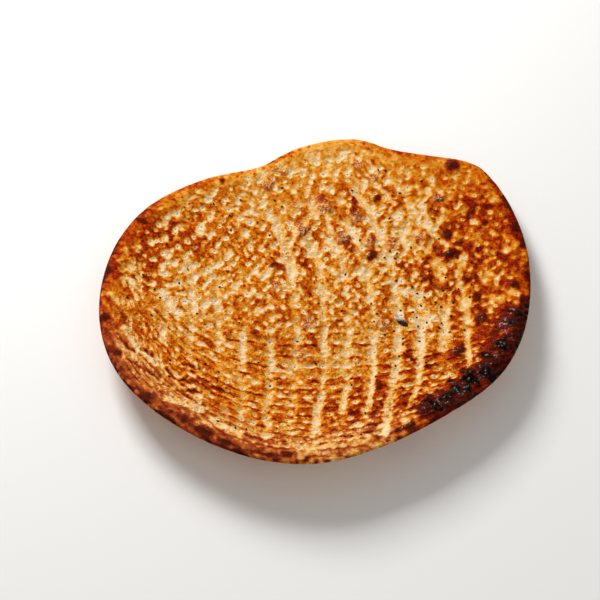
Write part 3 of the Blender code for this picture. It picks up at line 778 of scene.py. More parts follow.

# %% [markdown]
# ## Scorch marks and flaky skins
# Dark scorch marks sit where the crust touched an ember or a high spot caught the flame.
# Behind, the top skin has come loose in small flaky patches.  Both are laid one by one, with ragged
# edges.

# %% Tables of marks and skins
SCORCH_MARKS = metres((  # mm: x, y, half length, half width; then direction, strength
    (58.6, 112.7, 5.5, 5, 0, 0.9), (121, 109, 4.5, 4.2, 0, 0.9), (135, 148.5, 8, 6.4, -30, 1),
    (36.5, 102, 7.5, 5, 60, 0.45), (52.5, 47, 6.2, 4.5, 70, 0.9), (128, 45, 9.5, 5.5, 10, 1),
    (80, 35.7, 6.5, 4, 20, 0.55), (104, 19.7, 8, 5, 30, 0.6), (140, 16.6, 4.8, 4.8, 0, 0.85),
    (148.6, -4.7, 7.5, 4.8, 80, 0.75), (120.4, 6, 7, 6, 0, 0.5), (147, 90, 8, 6, 60, 0.6),
    (125.7, 70, 7.5, 6, 60, 0.75), (136, 57.8, 5.5, 5, 0, 0.6), (165, 41, 5, 4.5, 0, 0.7),
    (186, 100, 16, 4.5, -62, 1), (191, 72, 7, 4.5, 80, 0.9), (195, 50, 8, 4, 85, 0.9),
    (183.7, 2, 5.2, 4.6, 70, 1), (196, 10, 9, 3, 85, 0.8), (28.5, 62, 10, 4, -65, 0.5),
    (8.3, 111, 8, 4, -65, 0.4), (-40.5, 35, 7, 4.2, 0, 1), (-93, 128, 4, 3.2, 90, 0.8),
    (-116, 51.7, 5.5, 4.2, 60, 0.65), (-123, 62, 3.5, 3.5, 0, 0.55), (-140, 77.6, 5.5, 3, 0, 0.5),
    (-168, 76, 9.5, 2.8, -25, 1), (-76, 102, 7, 3.5, -15, 0.5), (-49, 57.8, 5.2, 4.5, 0, 0.5),
    (-12, 38, 5.5, 4.2, 70, 0.5), (-192, 45, 12, 3.5, 75, 0.8), (-194, -38.5, 5, 4, 0, 1),
    (-194, 16, 5, 3.5, 90, 0.8), (-179, -75, 5, 4.2, 0, 0.75), (-113, -98, 10, 3.6, -10, 0.7),
    (-87, -105, 10, 3.6, -8, 0.7), (-110.7, -110, 6.5, 2.6, 0, 0.6),
    (-153, -70.5, 7.5, 2.6, -40, 0.6), (-56.5, -4, 6.5, 5.5, 30, 0.45),
    (-57.3, -39.3, 4, 3.2, 60, 0.55), (18, -25.6, 7.5, 2.6, 5, 0.55),
    (148.6, -32.4, 6.2, 5.6, 0, 0.95), (149, -20, 8.5, 6, 80, 0.55), (128, -66, 10.5, 5, 55, 0.9),
    (106.7, -66, 4.5, 4.2, 0, 0.6), (83, -66, 4.5, 4, 0, 0.6), (54, -98, 6.5, 4.2, 80, 0.75),
    (103, -80, 6.5, 4.5, 20, 0.55), (31, -128.5, 7, 4, 0, 0.6), (48, -131.6, 6.5, 4.2, 0, 0.6),
    (43.4, -153.7, 5.5, 3, 10, 0.75), (50, -161, 5.2, 3.4, 80, 0.75),
    (20.5, -172.7, 8, 5, 20, 0.55), (-148, -122, 8, 4, -40, 0.8), (-116, -144, 8.5, 5, -35, 0.8),
    (-99, -156, 8, 5.6, -30, 1), (-79, -166.6, 8, 4.4, -25, 0.8), (-41, -178, 6, 3.6, -10, 0.8),
    (-26, -178, 6.5, 3.6, 0, 0.9), (160.8, -49, 8.5, 6, 30, 0.75), (162, -66, 8, 7, 0, 1),
    (-1, -26, 7, 2.2, 90, 0.45), (-4, -45.5, 4.5, 3.5, 0, 0.5), (162, 81, 4.5, 3.5, 30, 0.7),
    (168, 97.5, 4.5, 3.5, 70, 0.6), (155, 50, 5.5, 3.5, 70, 0.55), (-139, 60, 5, 4, 0, 0.35),
), 4)
FLAKY_SKINS = metres((  # mm: x, y, radius
    (-35, 146, 7.5), (-49, 128, 8.5), (-21, 104, 6), (-13, 78, 9), (-69, 121, 5), (-3, 111, 6.5),
    (7, 102, 7.5), (38, 90, 7), (24, 68, 7), (55, 138, 6), (41, 154, 6), (48, 63, 7), (97, 68, 6.5),
    (71, 61, 6.5), (-8, -29, 8), (-16, -60, 7), (120, 112, 6), (-38, 10, 6), (-28, 50, 6),
    (60, -30, 6),
), 3)
print("scorch marks:", len(SCORCH_MARKS), "flaky skins:", len(FLAKY_SKINS))

# %% Lay the marks and skins
FRAYED_SKIN = 0.9


def scorch_at(x, y, marks):
    """Scorch marks with ragged edges, 0 to 1."""
    ragged = grains(x, y, (0.45, 0.0045, 2.0), (0.2, 0.0022, 2.5))
    worst = np.zeros_like(x)
    for mark_x, mark_y, length, width, angle, strength in marks:
        cos, sin = math.cos(math.radians(angle)), math.sin(math.radians(angle))
        u = ((x - mark_x) * cos + (y - mark_y) * sin) / length
        v = (-(x - mark_x) * sin + (y - mark_y) * cos) / width
        worst = np.maximum(worst, strength * smooth_step(1.35, 0.25, np.hypot(u, v) + ragged))
    return worst


marks = scorch_at(x, y, SCORCH_MARKS)
flaky = np.zeros_like(x)
for centre_x, centre_y, size in FLAKY_SKINS:
    apart = np.hypot(x - centre_x, y - centre_y) / size + FRAYED_SKIN * frayed
    flaky = np.maximum(flaky, smooth_step(1.15, 0.55, apart))
print("shares of the face:", face_share(marks, 0.4), "scorched,", face_share(flaky, 0.4), "flaky")

# %% [markdown]
# ## The charred rim
# At the front right the rim was nearest to the fire, and a whole stretch of it is scorched.
# Elsewhere the outer edge is charred in patches.  The noise for these patches is laid out
# flat round the rounded edge, so they are not stretched there.

# %% Charred rim
EDGE_WAY = 0.0045            # way over the rounded edge for each radian of its turn
route_gap = np.min([gap_to_stroke(x, y, a, b) for a, b in zip(route, route[1:])], axis=0)
route_gap *= np.where(inset < 0.010, 0.4, 1)
scorched = smooth_step(0.018, 0.003, route_gap + 0.018 * grain(x, y, 0.009, 3.0))
outward = 1 + edge_turn * EDGE_WAY / np.maximum(radius, 0.05)   # lays the rounded edge out flat
rim_x, rim_y = x * outward, y * outward
rim_noise = grains(rim_x, rim_y, (0.8, 0.019, 4.0), (0.8, 0.0065, 4.5)) + 0.2 * fullness
past_edge = inset - EDGE_WAY * edge_turn + 0.006 * grain(rim_x, rim_y, 0.0060, 4.7)
rim_char = smooth_step(0.10, 0.80, rim_noise) * smooth_step(0.011, -0.006, past_edge)
print("charred points of the rim:", int((rim_char > 0.5).sum()))

# %% [markdown]
# ## How pale is each point?
# Pricks, furrows and strokes keep the dough pale.  On the right side and along the rim even
# the pricks browned, and a furrow is broken up by small beads of browner dough.

# %% Paleness
bare_rim = smooth_step(0.024, 0.014, inset)
pitted = 1 - np.maximum(0.30 * right_side, 0.55 * bare_rim)
beads = 0.8 * grain(x, y, 0.0062, 41.0) + 0.6 * frayed
beads -= 0.75 * (ripple_shape - RIPPLE_LEVEL) * in_rows
worn_furrow = np.clip(0.74 + 1.10 * beads, 0, 1)
pale = 1 - (1 - pitted * pricked_pale) * (1 - worn_furrow * furrow) * (1 - stroke)
print("pale share of the face:", face_share(pale, 0.5))

# %% [markdown]
# ## The mottled crust
# Between the marks the crust is mottled, finely nearly everywhere and in larger blotches on
# the right.  The back browned the most evenly, so its mottling is toned down there.

# %% Mottling
MOTTLE = ((0.14, 0.0095, 5.2), (0.24, 0.0050, 6.0), (0.36, 0.0027, 7.0))
RIGHT_BLOTCHES, BLOTCH_LEVEL, BACK_CALMS = 0.55, 0.35, 0.40
even_back = smooth_step(0.045, 0.120, y + 0.3 * np.minimum(0.02 - x, 0))
even_back *= 0.55 + 0.45 * smooth_step(-0.09, -0.04, x)
blotch = smooth_step(-0.05, 0.40, grains(x, y, (1, 0.013, 5.0), (0.35, 0.0055, 5.5)))
mottle = 0.18 * streak + 0.30 * fleck + grains(x, y, *MOTTLE)
mottle += RIGHT_BLOTCHES * right_side * (blotch - BLOTCH_LEVEL)
mottle *= 1 - BACK_CALMS * even_back
speck = smooth_step(0.30, 0.50, grain(x, y, 0.0042, 9.0)) * (1 - pale)
rib = smooth_step(-0.06, -0.10, y) * smooth_step(-0.02, 0.04, x) * (1 - pale)
print("mottling from", round(float(mottle.min()), 2), "to", round(float(mottle.max()), 2))

# %% [markdown]
# ## The browning score
# High spots brown first, dimples and furrows stay pale.  All causes are added to one score,
# each with its own weight, and the score is then spread evenly from 0 to 1 by rank, so that
# the share of pale, golden and dark crust is under control.

# %% Causes and the score
EVEN_PALE, EVEN_LEVEL = 0.22, 0.45              # how far the back is drawn to one paleness
CAUSES = {                   # its weight and where it works; blisters count by their height in m
    "pale marks": (-1.25, pale + EVEN_PALE * even_back * (EVEN_LEVEL - pale)),
    # heat here also carries the painted shade of the left and front left rim
    "bare rim": (-0.15, bare_rim), "heat_and_rim_shade": (0.72, heat_and_rim_shade), "mottling": (1, mottle),
    "specks": (0.45, speck), "ribs": (0.22, rib), "blisters": (150, blister + small),
    "ridges": (0.25, ridge), "ripples": (0.36, ripple), "rows": (-0.12, in_rows),
    # crevices and creases are painted darker here as painted shade, and lips paler as painted
    # highlight
    "crevices": (0.75, crevice_and_shade), "creases": (0.9, crease_and_shade), "lips": (-0.25, lip_and_highlight),
    "scorch marks": (1, marks), "flaky skins": (0.30, flaky),
    "scorched stretch": (1.5, scorched), "charred rim": (1, rim_char),
}
score = sum(weight * field for weight, field in CAUSES.values())
top = is_face | (edge_turn < math.pi / 2)
order = np.argsort(np.argsort(score[top]))
browning = np.full(len(x), 0.5)
browning[top] = order / (top.sum() - 1)
browning[is_edge] = np.searchsorted(np.sort(score[top]), score[is_edge]) / top.sum()
blackened = 0.30 + 0.75 * bubble_char + 1.5 * grain(x, y, 0.0080, 3.5) + 0.5 * frayed
char = np.maximum(0.62 * marks, 0.85 * rim_char) + scorched * np.clip(blackened, 0, 1.2)
char = np.clip(char, 0, 1.2)
print("scorched share of the face:", face_share(char, 0.5))

# %% [markdown]
# ## The underside
# The underside clung to the clay wall.  It is paler than the face, dusted with flour, and it
# browned in blotches where it lay close to the hot clay.  It gets its own score, and the
# rounded edge goes from one score to the other.

# %% Browning of the underside
SOLE_PALE = 0.22
clay_blotch = smooth_step(-0.10, 0.55, grains(x, y, (1, 0.024, 11.8), (0.5, 0.009, 11.3)))
clay_scorch = smooth_step(0.30, 0.80, grains(x, y, (1, 0.019, 13.0), (0.35, 0.008, 13.5)))
sole_score = (SOLE_PALE + 0.36 * clay_blotch + 0.6 * clay_scorch + 0.16 * grain(x, y, 0.006, 12.0)
              + 0.16 * smooth_step(0.03, 0.0, inset))
below = smooth_step(0.40, 0.85, edge_turn / math.pi) * ~is_face
browning = browning * (1 - below) + np.clip(sole_score, 0, 1) * below
char = char * (1 - below) + 0.35 * clay_scorch ** 2 * below
print("browning of the underside:", round(float(browning[is_sole].mean()), 2))

# %% [markdown]
# ## Numbers on the mesh
# A shader can read numbers that are stored on the points of a mesh.  We store how brown, how
# charred, how glossy and how flaky each point is, and where flour clings: on the underside
# and along the front left rim.  "calm" tells where fine noise should stay away, "core" how
# pale the middle of a prick is, and the way to the nearest prick lets the shader draw the
# pinhole finer than the mesh could.

# %% Attributes
OPEN_SHARE = 0.45            # pricks that still show their hole


def store(name, values):
    vector = values.ndim == 2
    made = crust.data.attributes.new(name, "FLOAT_VECTOR" if vector else "FLOAT", "POINT")
    made.data.foreach_set("vector" if vector else "value", values.ravel())


nearest = near_ones[:, 0]
prick_open = (rng.uniform(0, 1, len(pricks)) < OPEN_SHARE)[nearest].astype(float)
floury = smooth_step(185, 205, degrees % 360) * smooth_step(305, 285, degrees % 360)
floury *= smooth_step(0.045, 0.014, inset) * (1 - below)
core = prick_pale[nearest] * pitted * (1 - 0.5 * in_rows) * (1 - char)
calm = (0.8 * bare_rim + 0.6 * right_side + 0.4 * front_left * (inset < 0.05)
        + 0.4 * even_back - 0.3 * floury)
gloss = blister / 0.0040 + small / 0.0022 + 0.8 * scorched
store("browning", browning)
store("char", char)
store("gloss", np.clip(gloss, 0, 1) * ~is_sole)
store("flaky", flaky * is_face)
store("pale_dust", np.clip(below * (1 - clay_blotch) + 0.75 * floury, 0, 1))
store("to_prick", np.column_stack([to_prick, np.zeros(len(x))]))
store("prick_gap", prick_gap + is_edge + is_sole + 1.0 - prick_open)
store("core", np.clip(core, 0, 1) * is_face)
store("calm", np.clip(calm, 0, 0.8))
print("numbers stored:", [made.name for made in crust.data.attributes if not made.is_internal])

# %% [markdown]
# ## A flat map
# The map lays the face with its edge and the underside flat beside each other, without
# overlaps, which any later baking of the finish needs.

# %% Flat map
FACE_SHARE, MAP_EDGE = 0.690, 0.006
corners = np.zeros(len(crust.data.loops), int)
crust.data.loops.foreach_get("vertex_index", corners)
triangles = corners.reshape(-1, 3)
unrolled = np.column_stack([rim_x, rim_y])
unrolled -= unrolled.min(0)
unrolled /= unrolled.max()
under = np.column_stack([-x, y])
under = (under - under.max(0)) / np.ptp(under[:, 0])
face_map = MAP_EDGE + FACE_SHARE * unrolled
sole_map = 1 - MAP_EDGE + (1 - FACE_SHARE - 4 * MAP_EDGE) * under
wholly_under = np.repeat(is_sole[triangles].all(1), 3)
flat_map = np.where(wholly_under[:, None], sole_map[corners], face_map[corners])
layer = crust.data.uv_layers.new(name="OFBake")
layer.data.foreach_set("uv", flat_map.ravel())
print("map from", flat_map.min(0).round(3), "to", flat_map.max(0).round(3))

# %% [markdown]
# ## Helpers for finishes
# Colours are noted the way a photograph shows them, from 0 to 255, and turned into the linear
# values that a shader wants.  The helper for nodes sets its sockets and draws its links in
# one call, which keeps each finish readable.

# %% Colour and node helpers
def photo_colour(red, green, blue):
    def linear(value):
        value /= 255
        return value / 12.92 if value <= 0.04045 else ((value + 0.055) / 1.055) ** 2.4
    return linear(red), linear(green), linear(blue), 1.0


def new_finish(name, roughness, level=0.4):
    finish = bpy.data.materials.new(name)
    finish.use_nodes = True
    shader = finish.node_tree.nodes["Principled BSDF"]
    shader.inputs["Roughness"].default_value = roughness
    shader.inputs["Specular IOR Level"].default_value = level
    return finish, finish.node_tree, shader


def plug(tree, node, sockets):
    for name, value in sockets.items():
        if isinstance(value, bpy.types.NodeSocket):
            tree.links.new(value, node.inputs[name])
        else:
            node.inputs[name].default_value = value


def add(tree, kind, sockets=None, **settings):
    made = tree.nodes.new(kind)
    for name, value in settings.items():
        setattr(made, name, value)
    plug(tree, made, sockets or {})
    return made


def calculate(tree, operation, *values, clamp=False):
    sockets = dict(enumerate(values))
    return add(tree, "ShaderNodeMath", sockets, operation=operation, use_clamp=clamp).outputs[0]


def between(tree, value, low, high, to_low=0.0, to_high=1.0):
    sockets = {"Value": value, "From Min": low, "From Max": high}
    sockets.update({"To Min": to_low, "To Max": to_high})
    return add(tree, "ShaderNodeMapRange", sockets, interpolation_type="SMOOTHSTEP").outputs[0]


def stored(tree, name, output="Fac"):
    return add(tree, "ShaderNodeAttribute", attribute_name=name).outputs[output]


def speckle(tree, place, scale, detail=2.0, rough=0.5):
    sockets = {"Vector": place, "Scale": scale, "Detail": detail, "Roughness": rough}
    return add(tree, "ShaderNodeTexNoise", sockets).outputs["Fac"]


def mix(tree, factor, first, second):
    sockets = {"Factor": factor, 6: first, 7: second}       # 6 and 7 are the colours
    return add(tree, "ShaderNodeMix", sockets, data_type="RGBA").outputs[2]


def bumpy(tree, strength, distance, height):
    sockets = {"Strength": strength, "Distance": distance, "Height": height}
    return add(tree, "ShaderNodeBump", sockets).outputs["Normal"]


print("helpers ready")

# %% [markdown]
# ## The crust's finish
# Baked dough goes from cream through gold and deep orange-brown to nearly black, and the browning
# score picks the place on that scale.  Fine noise breaks the steps between points, less where the
# crust is calm.  Pinholes come on top as dark dots of painted shade in the holes, and scorch,
# flour, loose flakes and gloss on top as well.

# %% Browning colours
BROWNING_SCALE = (
    (0.00, (231, 204, 166)), (0.10, (227, 188, 127)), (0.25, (225, 165, 76)),
    (0.42, (212, 134, 31)), (0.58, (199, 106, 8)), (0.74, (178, 74, 2)),
    (0.88, (148, 42, 1)), (0.96, (106, 20, 1)), (1.00, (56, 6, 1)),
)
crust_finish, tree, shader = new_finish("browned_crust", 0.5, 0.015)
shader.inputs["Coat Roughness"].default_value = 0.24
place = add(tree, "ShaderNodeTexCoord").outputs["Object"]
fine = speckle(tree, place, 640, 2, 0.6)
medium = speckle(tree, place, 330, 2)
wobble = calculate(tree, "ADD", calculate(tree, "MULTIPLY_ADD", fine, 1.05, -0.525),
                   calculate(tree, "MULTIPLY_ADD", medium, 0.40, -0.20))
to_hole = {0: stored(tree, "to_prick", "Vector")}
hole = add(tree, "ShaderNodeVectorMath", to_hole, operation="LENGTH").outputs["Value"]
core = calculate(tree, "MULTIPLY", stored(tree, "core"), between(tree, hole, 0.0011, 0.0030, 1, 0))
calm = calculate(tree, "MAXIMUM", stored(tree, "calm"), calculate(tree, "MULTIPLY", core, 0.6))
score = stored(tree, "browning")
wobble = calculate(tree, "MULTIPLY", wobble, calculate(tree, "SUBTRACT", 1.0, calm))
wobble = calculate(tree, "MULTIPLY", wobble, between(tree, score, 0.55, 0.95, 1.0, 0.35))
score = calculate(tree, "MULTIPLY_ADD", core, -0.15, calculate(tree, "ADD", score, 0.02))
brown = calculate(tree, "ADD", wobble, score, clamp=True)
ramp = add(tree, "ShaderNodeValToRGB", {"Fac": brown})
stops = ramp.color_ramp.elements
while len(stops) < len(BROWNING_SCALE):
    stops.new(0.5)
for stop, (position, _) in zip(stops, BROWNING_SCALE):
    stop.position = position
for stop, (_, colour) in zip(stops, BROWNING_SCALE):
    stop.color = photo_colour(*colour)
print("the scale of browning has", len(stops), "colours")

# %% Flour, char, flakes and pinholes
SCORCH_BROWN, SCORCH_BLACK = (74, 22, 4), (11, 5, 3)
FLOUR, LOOSE_FLAKE, PINHOLE_SHADE = (244, 226, 196), (248, 192, 128), (104, 74, 44)
dusty = stored(tree, "pale_dust")
hue = between(tree, speckle(tree, place, 520, 1), 0.36, 0.64, 0.488, 0.512)
hue = calculate(tree, "MULTIPLY_ADD", dusty, 0.010, hue)
faded = calculate(tree, "MULTIPLY_ADD", dusty, -0.04, 1.0)
sockets = {"Hue": hue, "Saturation": faded, "Color": ramp.outputs["Color"]}
colour = add(tree, "ShaderNodeHueSaturation", sockets).outputs["Color"]
dust = calculate(tree, "MULTIPLY", dusty, between(tree, medium, 0.40, 0.62, 0, 0.35))
dust = calculate(tree, "MULTIPLY", dust, between(tree, brown, 0.35, 0.75, 1, 0))
colour = mix(tree, dust, colour, photo_colour(*FLOUR))
burnt = calculate(tree, "MULTIPLY_ADD", medium, 0.5, -0.25)
burnt = calculate(tree, "ADD", stored(tree, "char"), burnt)
colour = mix(tree, between(tree, burnt, 0.15, 0.62, 0, 0.92), colour, photo_colour(*SCORCH_BROWN))
colour = mix(tree, between(tree, burnt, 0.62, 0.95, 0, 0.95), colour, photo_colour(*SCORCH_BLACK))
flaky_skin = stored(tree, "flaky")
flakes = calculate(tree, "MULTIPLY", flaky_skin, between(tree, fine, 0.46, 0.57, 0, 0.66))
colour = mix(tree, flakes, colour, photo_colour(*LOOSE_FLAKE))
# the pinhole's dark colour is painted shade inside the hole
pinhole = calculate(tree, "MULTIPLY", between(tree, hole, 0.0003, 0.0008, 1, 0),
                    between(tree, stored(tree, "prick_gap"), 0.0012, 0.0020, 1, 0))
colour = mix(tree, calculate(tree, "MULTIPLY", pinhole, 0.6), colour, photo_colour(*PINHOLE_SHADE))
print("colour of the crust ready")

# %% Gloss and fine bumps
gloss = stored(tree, "gloss")
roughness = calculate(tree, "MULTIPLY_ADD", gloss, -0.26, between(tree, fine, 0.3, 0.7, 0.46, 0.70))
oily = calculate(tree, "MULTIPLY", gloss, between(tree, medium, 0.49, 0.62, 0.0, 0.50))
bumps = calculate(tree, "MULTIPLY_ADD", fine, 0.45, medium)
bumps = calculate(tree, "MULTIPLY", bumps, calculate(tree, "MULTIPLY_ADD", flaky_skin, 1.2, 1.0))
bumps = calculate(tree, "SUBTRACT", bumps, calculate(tree, "MULTIPLY", pinhole, 0.9))
plug(tree, shader, {"Base Color": colour, "Roughness": roughness, "Coat Weight": oily,
                    "Normal": bumpy(tree, 0.9, 0.0012, bumps)})
crust.data.materials.append(crust_finish)
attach(crust, "root")
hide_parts("flatbread")
print("crust finish has", len(tree.nodes), "nodes")

# %% [markdown]
# ## Nigella seeds
# Nigella seeds are matte black grains with a blunt and a sharp end.  One is shaped from a
# sphere, by narrowing one end twice and pulling it to the size of a seed, and then copied.
# The seeded draw below is the one that placed the seeds in the plain solid, so each seed lies
# where its solid grain does, now on the finer face.

# %% Seed places
SEED_GAP, SEED_KEY, SEED_FREE_RIM = 0.0046, 11, 0.90
SEED_PATCHES = metres((  # mm: x, y, spread; then number of seeds
    (74, -24, 15, 11), (70, -68, 15, 8), (107, -22, 18, 9), (78, 55, 16, 8), (103, 27, 18, 8),
    (55, -116, 20, 6), (45, -158, 12, 4), (56, 122, 24, 6), (-35, 108, 30, 5), (-124, 26, 22, 7),
    (-94, 112, 16, 4), (-48, -80, 26, 6), (-112, -72, 26, 4), (-60, -142, 20, 4), (124, -62, 18, 3),
    (22, -10, 24, 4), (146, 20, 22, 3), (-166, -10, 16, 3),
), 3)
FLAKE_PLACE, FLAKE_SIZE = (0.0775, -0.0257), (0.0170, 0.0065, 0.0030)
FLAKE_TURN, FLAKE_TILT, FLAKE_GAP = -48, 10, 0.0105


def seed_places(draw):
    places = []
    for centre_x, centre_y, spread, number in SEED_PATCHES:
        wanted = len(places) + number
        while len(places) < wanted:
            px = draw.gauss(centre_x, spread)
            py = draw.gauss(centre_y, spread)
            turned = draw.uniform(0, math.pi)
            on_bread = float(polar(np.array([px]), np.array([py]))[1][0]) < SEED_FREE_RIM
            alone = all(math.hypot(px - a, py - b) > SEED_GAP for a, b, _ in places)
            off_flake = math.hypot(px - FLAKE_PLACE[0], py - FLAKE_PLACE[1]) > FLAKE_GAP
            if on_bread and alone and off_flake:
                places.append((px, py, turned))
    return places


print("seeds wanted:", sum(patch[3] for patch in SEED_PATCHES))

# %% One seed
SEED_LENGTH, SEED_WIDTH, SEED_HEIGHT, SEED_SUNK = 0.0029, 0.0018, 0.0017, 0.30
BLUNTING = ((0.20, 0.80), (0.38, 0.55))         # beyond this share of the length, that narrow
pick()
bpy.ops.mesh.primitive_uv_sphere_add(
    segments=8, ring_count=6, radius=0.5, rotation=(0, math.pi / 2, 0))
seed = bpy.context.object
bpy.ops.object.transform_apply(location=True, rotation=True, scale=True)
mode("EDIT")
for beyond, narrow in BLUNTING:
    bpy.ops.mesh.select_all(action="DESELECT")
    mode("OBJECT")
    for vertex in seed.data.vertices:
        vertex.select = vertex.co.x > beyond
    mode("EDIT")
    bpy.ops.transform.resize(value=(1, narrow, narrow))
bpy.ops.mesh.select_all(action="SELECT")
bpy.ops.transform.resize(value=(SEED_LENGTH, SEED_WIDTH, SEED_HEIGHT), center_override=(0, 0, 0))
mode("OBJECT")
print("one seed has", len(seed.data.polygons), "faces")

# %% Copies on the face
ROLLED, SIZES = 0.35, (0.92, 1.08)              # seeds lie a little askew and differ in size


def lay_on_face(surface, px, py):
    above = Vector((px - PLAN_MIDDLE[0], py - PLAN_MIDDLE[1], 1.0))
    point, normal, _, _ = surface.ray_cast(above, Vector((0, 0, -1)))
    return point, Vector((0, 0, 1)).rotation_difference(normal).to_matrix()


surface = BVHTree.FromObject(crust, bpy.context.evaluated_depsgraph_get())
draw = random.Random(SEED_KEY)
turned_over = random.Random(SEED_KEY + 1)
seeds = []
for px, py, turned in seed_places(draw):
    point, lean = lay_on_face(surface, px, py)
    copy = seed.copy()
    copy.data = seed.data.copy()
    bpy.context.collection.objects.link(copy)
    roll_over = Matrix.Rotation(turned_over.uniform(-ROLLED, ROLLED), 3, "Y")
    size = turned_over.uniform(*SIZES)
    turning = lean @ Matrix.Rotation(turned, 3, "Z") @ roll_over
    copy.data.transform(turning.to_4x4() @ Matrix.Scale(size, 4))
    middle_height = Vector((0, 0, SEED_HEIGHT * (0.5 - SEED_SUNK)))
    copy.data.transform(Matrix.Translation(point + lean @ middle_height))
    seeds.append(copy)
bpy.data.objects.remove(seed, do_unlink=True)
pick(*seeds)
bpy.ops.object.join()
nigella_seeds = bpy.context.object
nigella_seeds.name = "nigella_seeds"
bpy.ops.object.shade_smooth_by_angle(angle=math.radians(40))
print(len(seeds), "seeds,", len(nigella_seeds.data.polygons), "faces")

# %% [markdown]
# ## The seeds' finish
# Matte black with a hint of brown, a little lighter where the skin is worn.

# %% Seed finish
SEED_BLACK, SEED_WORN = (20, 15, 12), (46, 36, 29)
seed_finish, tree, shader = new_finish("matte_black_seed", 0.6, 0.15)
place = add(tree, "ShaderNodeTexCoord").outputs["Object"]
worn = speckle(tree, place, 2200, 2)
worn_through = between(tree, worn, 0.45, 0.70)
colour = mix(tree, worn_through, photo_colour(*SEED_BLACK), photo_colour(*SEED_WORN))
plug(tree, shader, {"Base Color": colour, "Normal": bumpy(tree, 0.5, 0.0002, worn)})
nigella_seeds.data.materials.append(seed_finish)
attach(nigella_seeds, "root")
print("seed finish ready")

# %% [markdown]
# ## The torn flake
# A thin flake of burnt crust tore off a blister and lies on the face: ash grey above and black at
# one end, where the black is char together with painted shadow.  It is a small sheet with a
# rounded, torn outline, curled a little and given its thickness by a modifier.

# %% Torn flake
FLAKE_THICK, FLAKE_LIFT, FLAKE_CURL = 0.0009, 0.0004, 0.0016
TORN_EDGE, UNEVEN_FLAKE = 0.16, 0.0006
pick()
bpy.ops.mesh.primitive_grid_add(x_subdivisions=14, y_subdivisions=8, size=1.0)
torn_flake = bpy.context.object
torn_flake.name = "torn_flake"
point, lean = lay_on_face(surface, *FLAKE_PLACE)
tilt = Euler((0, math.radians(FLAKE_TILT), math.radians(FLAKE_TURN))).to_matrix()
char_and_shadow_end = torn_flake.data.attributes.new("burnt", "FLOAT", "POINT")
for vertex in torn_flake.data.vertices:
    u, v = 2 * vertex.co.x, 2 * vertex.co.y
    char_and_shadow_end.data[vertex.index].value = u - 0.5 * v
    torn = 1 + TORN_EDGE * noise.noise(Vector((u * 1.7, v * 1.7, 4.0)))
    round_u, round_v = u * math.sqrt(1 - 0.40 * v * v), v * math.sqrt(1 - 0.45 * u * u)
    uneven = UNEVEN_FLAKE * noise.noise(Vector((u * 1.5, v * 1.5, 0)))
    curl = FLAKE_CURL * (1 - round_v * round_v) + uneven
    vertex.co = (torn * round_u * FLAKE_SIZE[0] / 2, torn * round_v * FLAKE_SIZE[1] / 2, curl)
solid = torn_flake.modifiers.new("thickness", "SOLIDIFY")
solid.thickness = FLAKE_THICK
solid.offset = -1
bpy.ops.object.modifier_apply(modifier=solid.name)
torn_flake.data.transform((lean @ tilt).to_4x4())
torn_flake.data.transform(Matrix.Translation(point + Vector((0, 0, FLAKE_LIFT))))
bpy.ops.object.shade_smooth_by_angle(angle=math.radians(45))
print("flake, mm:", [round(1000 * side, 1) for side in torn_flake.dimensions])

# %% [markdown]
# ## The flake's finish
# Patchy ash grey on top.  The number "burnt" rises towards one end of the flake, and there the grey
# gives way to black along a ragged line: char, with painted shadow.

# %% Flake finish
ASH_DARK, ASH_LIGHT, CHAR_AND_SHADOW_BLACK = (150, 128, 104), (214, 206, 194), (26, 12, 6)
flake_finish, tree, shader = new_finish("ash_grey_crust", 0.6, 0.2)
place = add(tree, "ShaderNodeTexCoord").outputs["Object"]
ash = speckle(tree, place, 420, 3)
burnt = calculate(tree, "MULTIPLY_ADD", ash, 1.6, -0.8)
burnt = calculate(tree, "ADD", stored(tree, "burnt"), burnt)
ashen = between(tree, ash, 0.40, 0.60)
colour = mix(tree, ashen, photo_colour(*ASH_DARK), photo_colour(*ASH_LIGHT))
# the black at that end is char together with painted shadow
colour = mix(tree, between(tree, burnt, -0.15, 0.20), colour, photo_colour(*CHAR_AND_SHADOW_BLACK))
plug(tree, shader, {"Base Color": colour, "Normal": bumpy(tree, 0.6, 0.0004, ash)})
torn_flake.data.materials.append(flake_finish)
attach(torn_flake, "root")
print("flake finish ready")

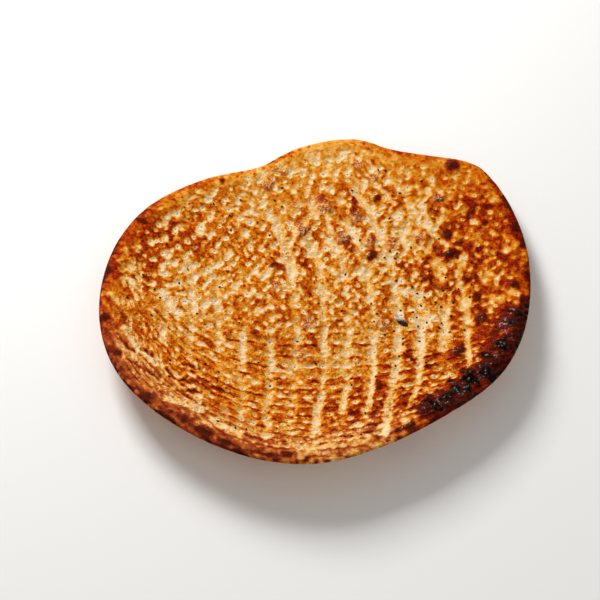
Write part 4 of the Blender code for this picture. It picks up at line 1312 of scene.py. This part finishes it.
# %% [markdown]
# ## Floor and light
# The bread stands on a plain pale floor in soft light from behind on the left, as in a food
# studio, with a weak lamp in front and a pale room as fill.

# %% Floor and soft light
WINDOW_POWER, FILL_POWER, ROOM_LIGHT = 38.7, 6, 0.34
pick()
bpy.ops.mesh.primitive_plane_add(size=8)
floor = bpy.context.object
floor.name = "pale_floor"
floor_finish, tree, shader = new_finish("pale_floor", 0.8, 0.2)
shader.inputs["Base Color"].default_value = photo_colour(240, 239, 237)
floor.data.materials.append(floor_finish)


def soft_lamp(name, where, size, power):
    bpy.ops.object.light_add(type="AREA", location=where)
    lamp = bpy.context.object
    lamp.name = name
    lamp.data.shape = "SQUARE"
    lamp.data.size = size
    lamp.data.energy = power
    lamp.rotation_mode = "QUATERNION"
    lamp.rotation_quaternion = (-Vector(where)).to_track_quat("-Z", "Y")


soft_lamp("window", (-0.75, 1.25, 1.15), 0.7, WINDOW_POWER)
soft_lamp("front_fill", (0.9, -1.3, 1.4), 1.6, FILL_POWER)
room = bpy.data.worlds.new("pale_room")
room.use_nodes = True
glow = room.node_tree.nodes["Background"].inputs
glow["Color"].default_value = (1.0, 0.99, 0.97, 1)
glow["Strength"].default_value = ROOM_LIGHT
bpy.context.scene.world = room
bpy.context.scene.view_settings.view_transform = "Standard"
print("floor and two lamps ready")

# %% [markdown]
# ## Camera
# The camera looks down at 58 degrees.  A long lens shows the near and the far side of the
# bread at almost the same scale.

# %% Camera
CAMERA_DEGREES, CAMERA_DISTANCE, CAMERA_LENS = 58, 1.25, 79.4
AIM = (-0.0161, 0.0018, 0.0)
tilt_down = math.radians(CAMERA_DEGREES)
ahead = Vector((0, math.cos(tilt_down), -math.sin(tilt_down)))
aim = Vector(AIM) - Vector((*PLAN_MIDDLE, 0))
bpy.ops.object.camera_add(location=aim - ahead * CAMERA_DISTANCE)
camera = bpy.context.object
camera.rotation_mode = "QUATERNION"
camera.rotation_quaternion = ahead.to_track_quat("-Z", "Y")
camera.data.lens = CAMERA_LENS
bpy.context.scene.camera = camera
print("camera at", [round(value, 3) for value in camera.location])
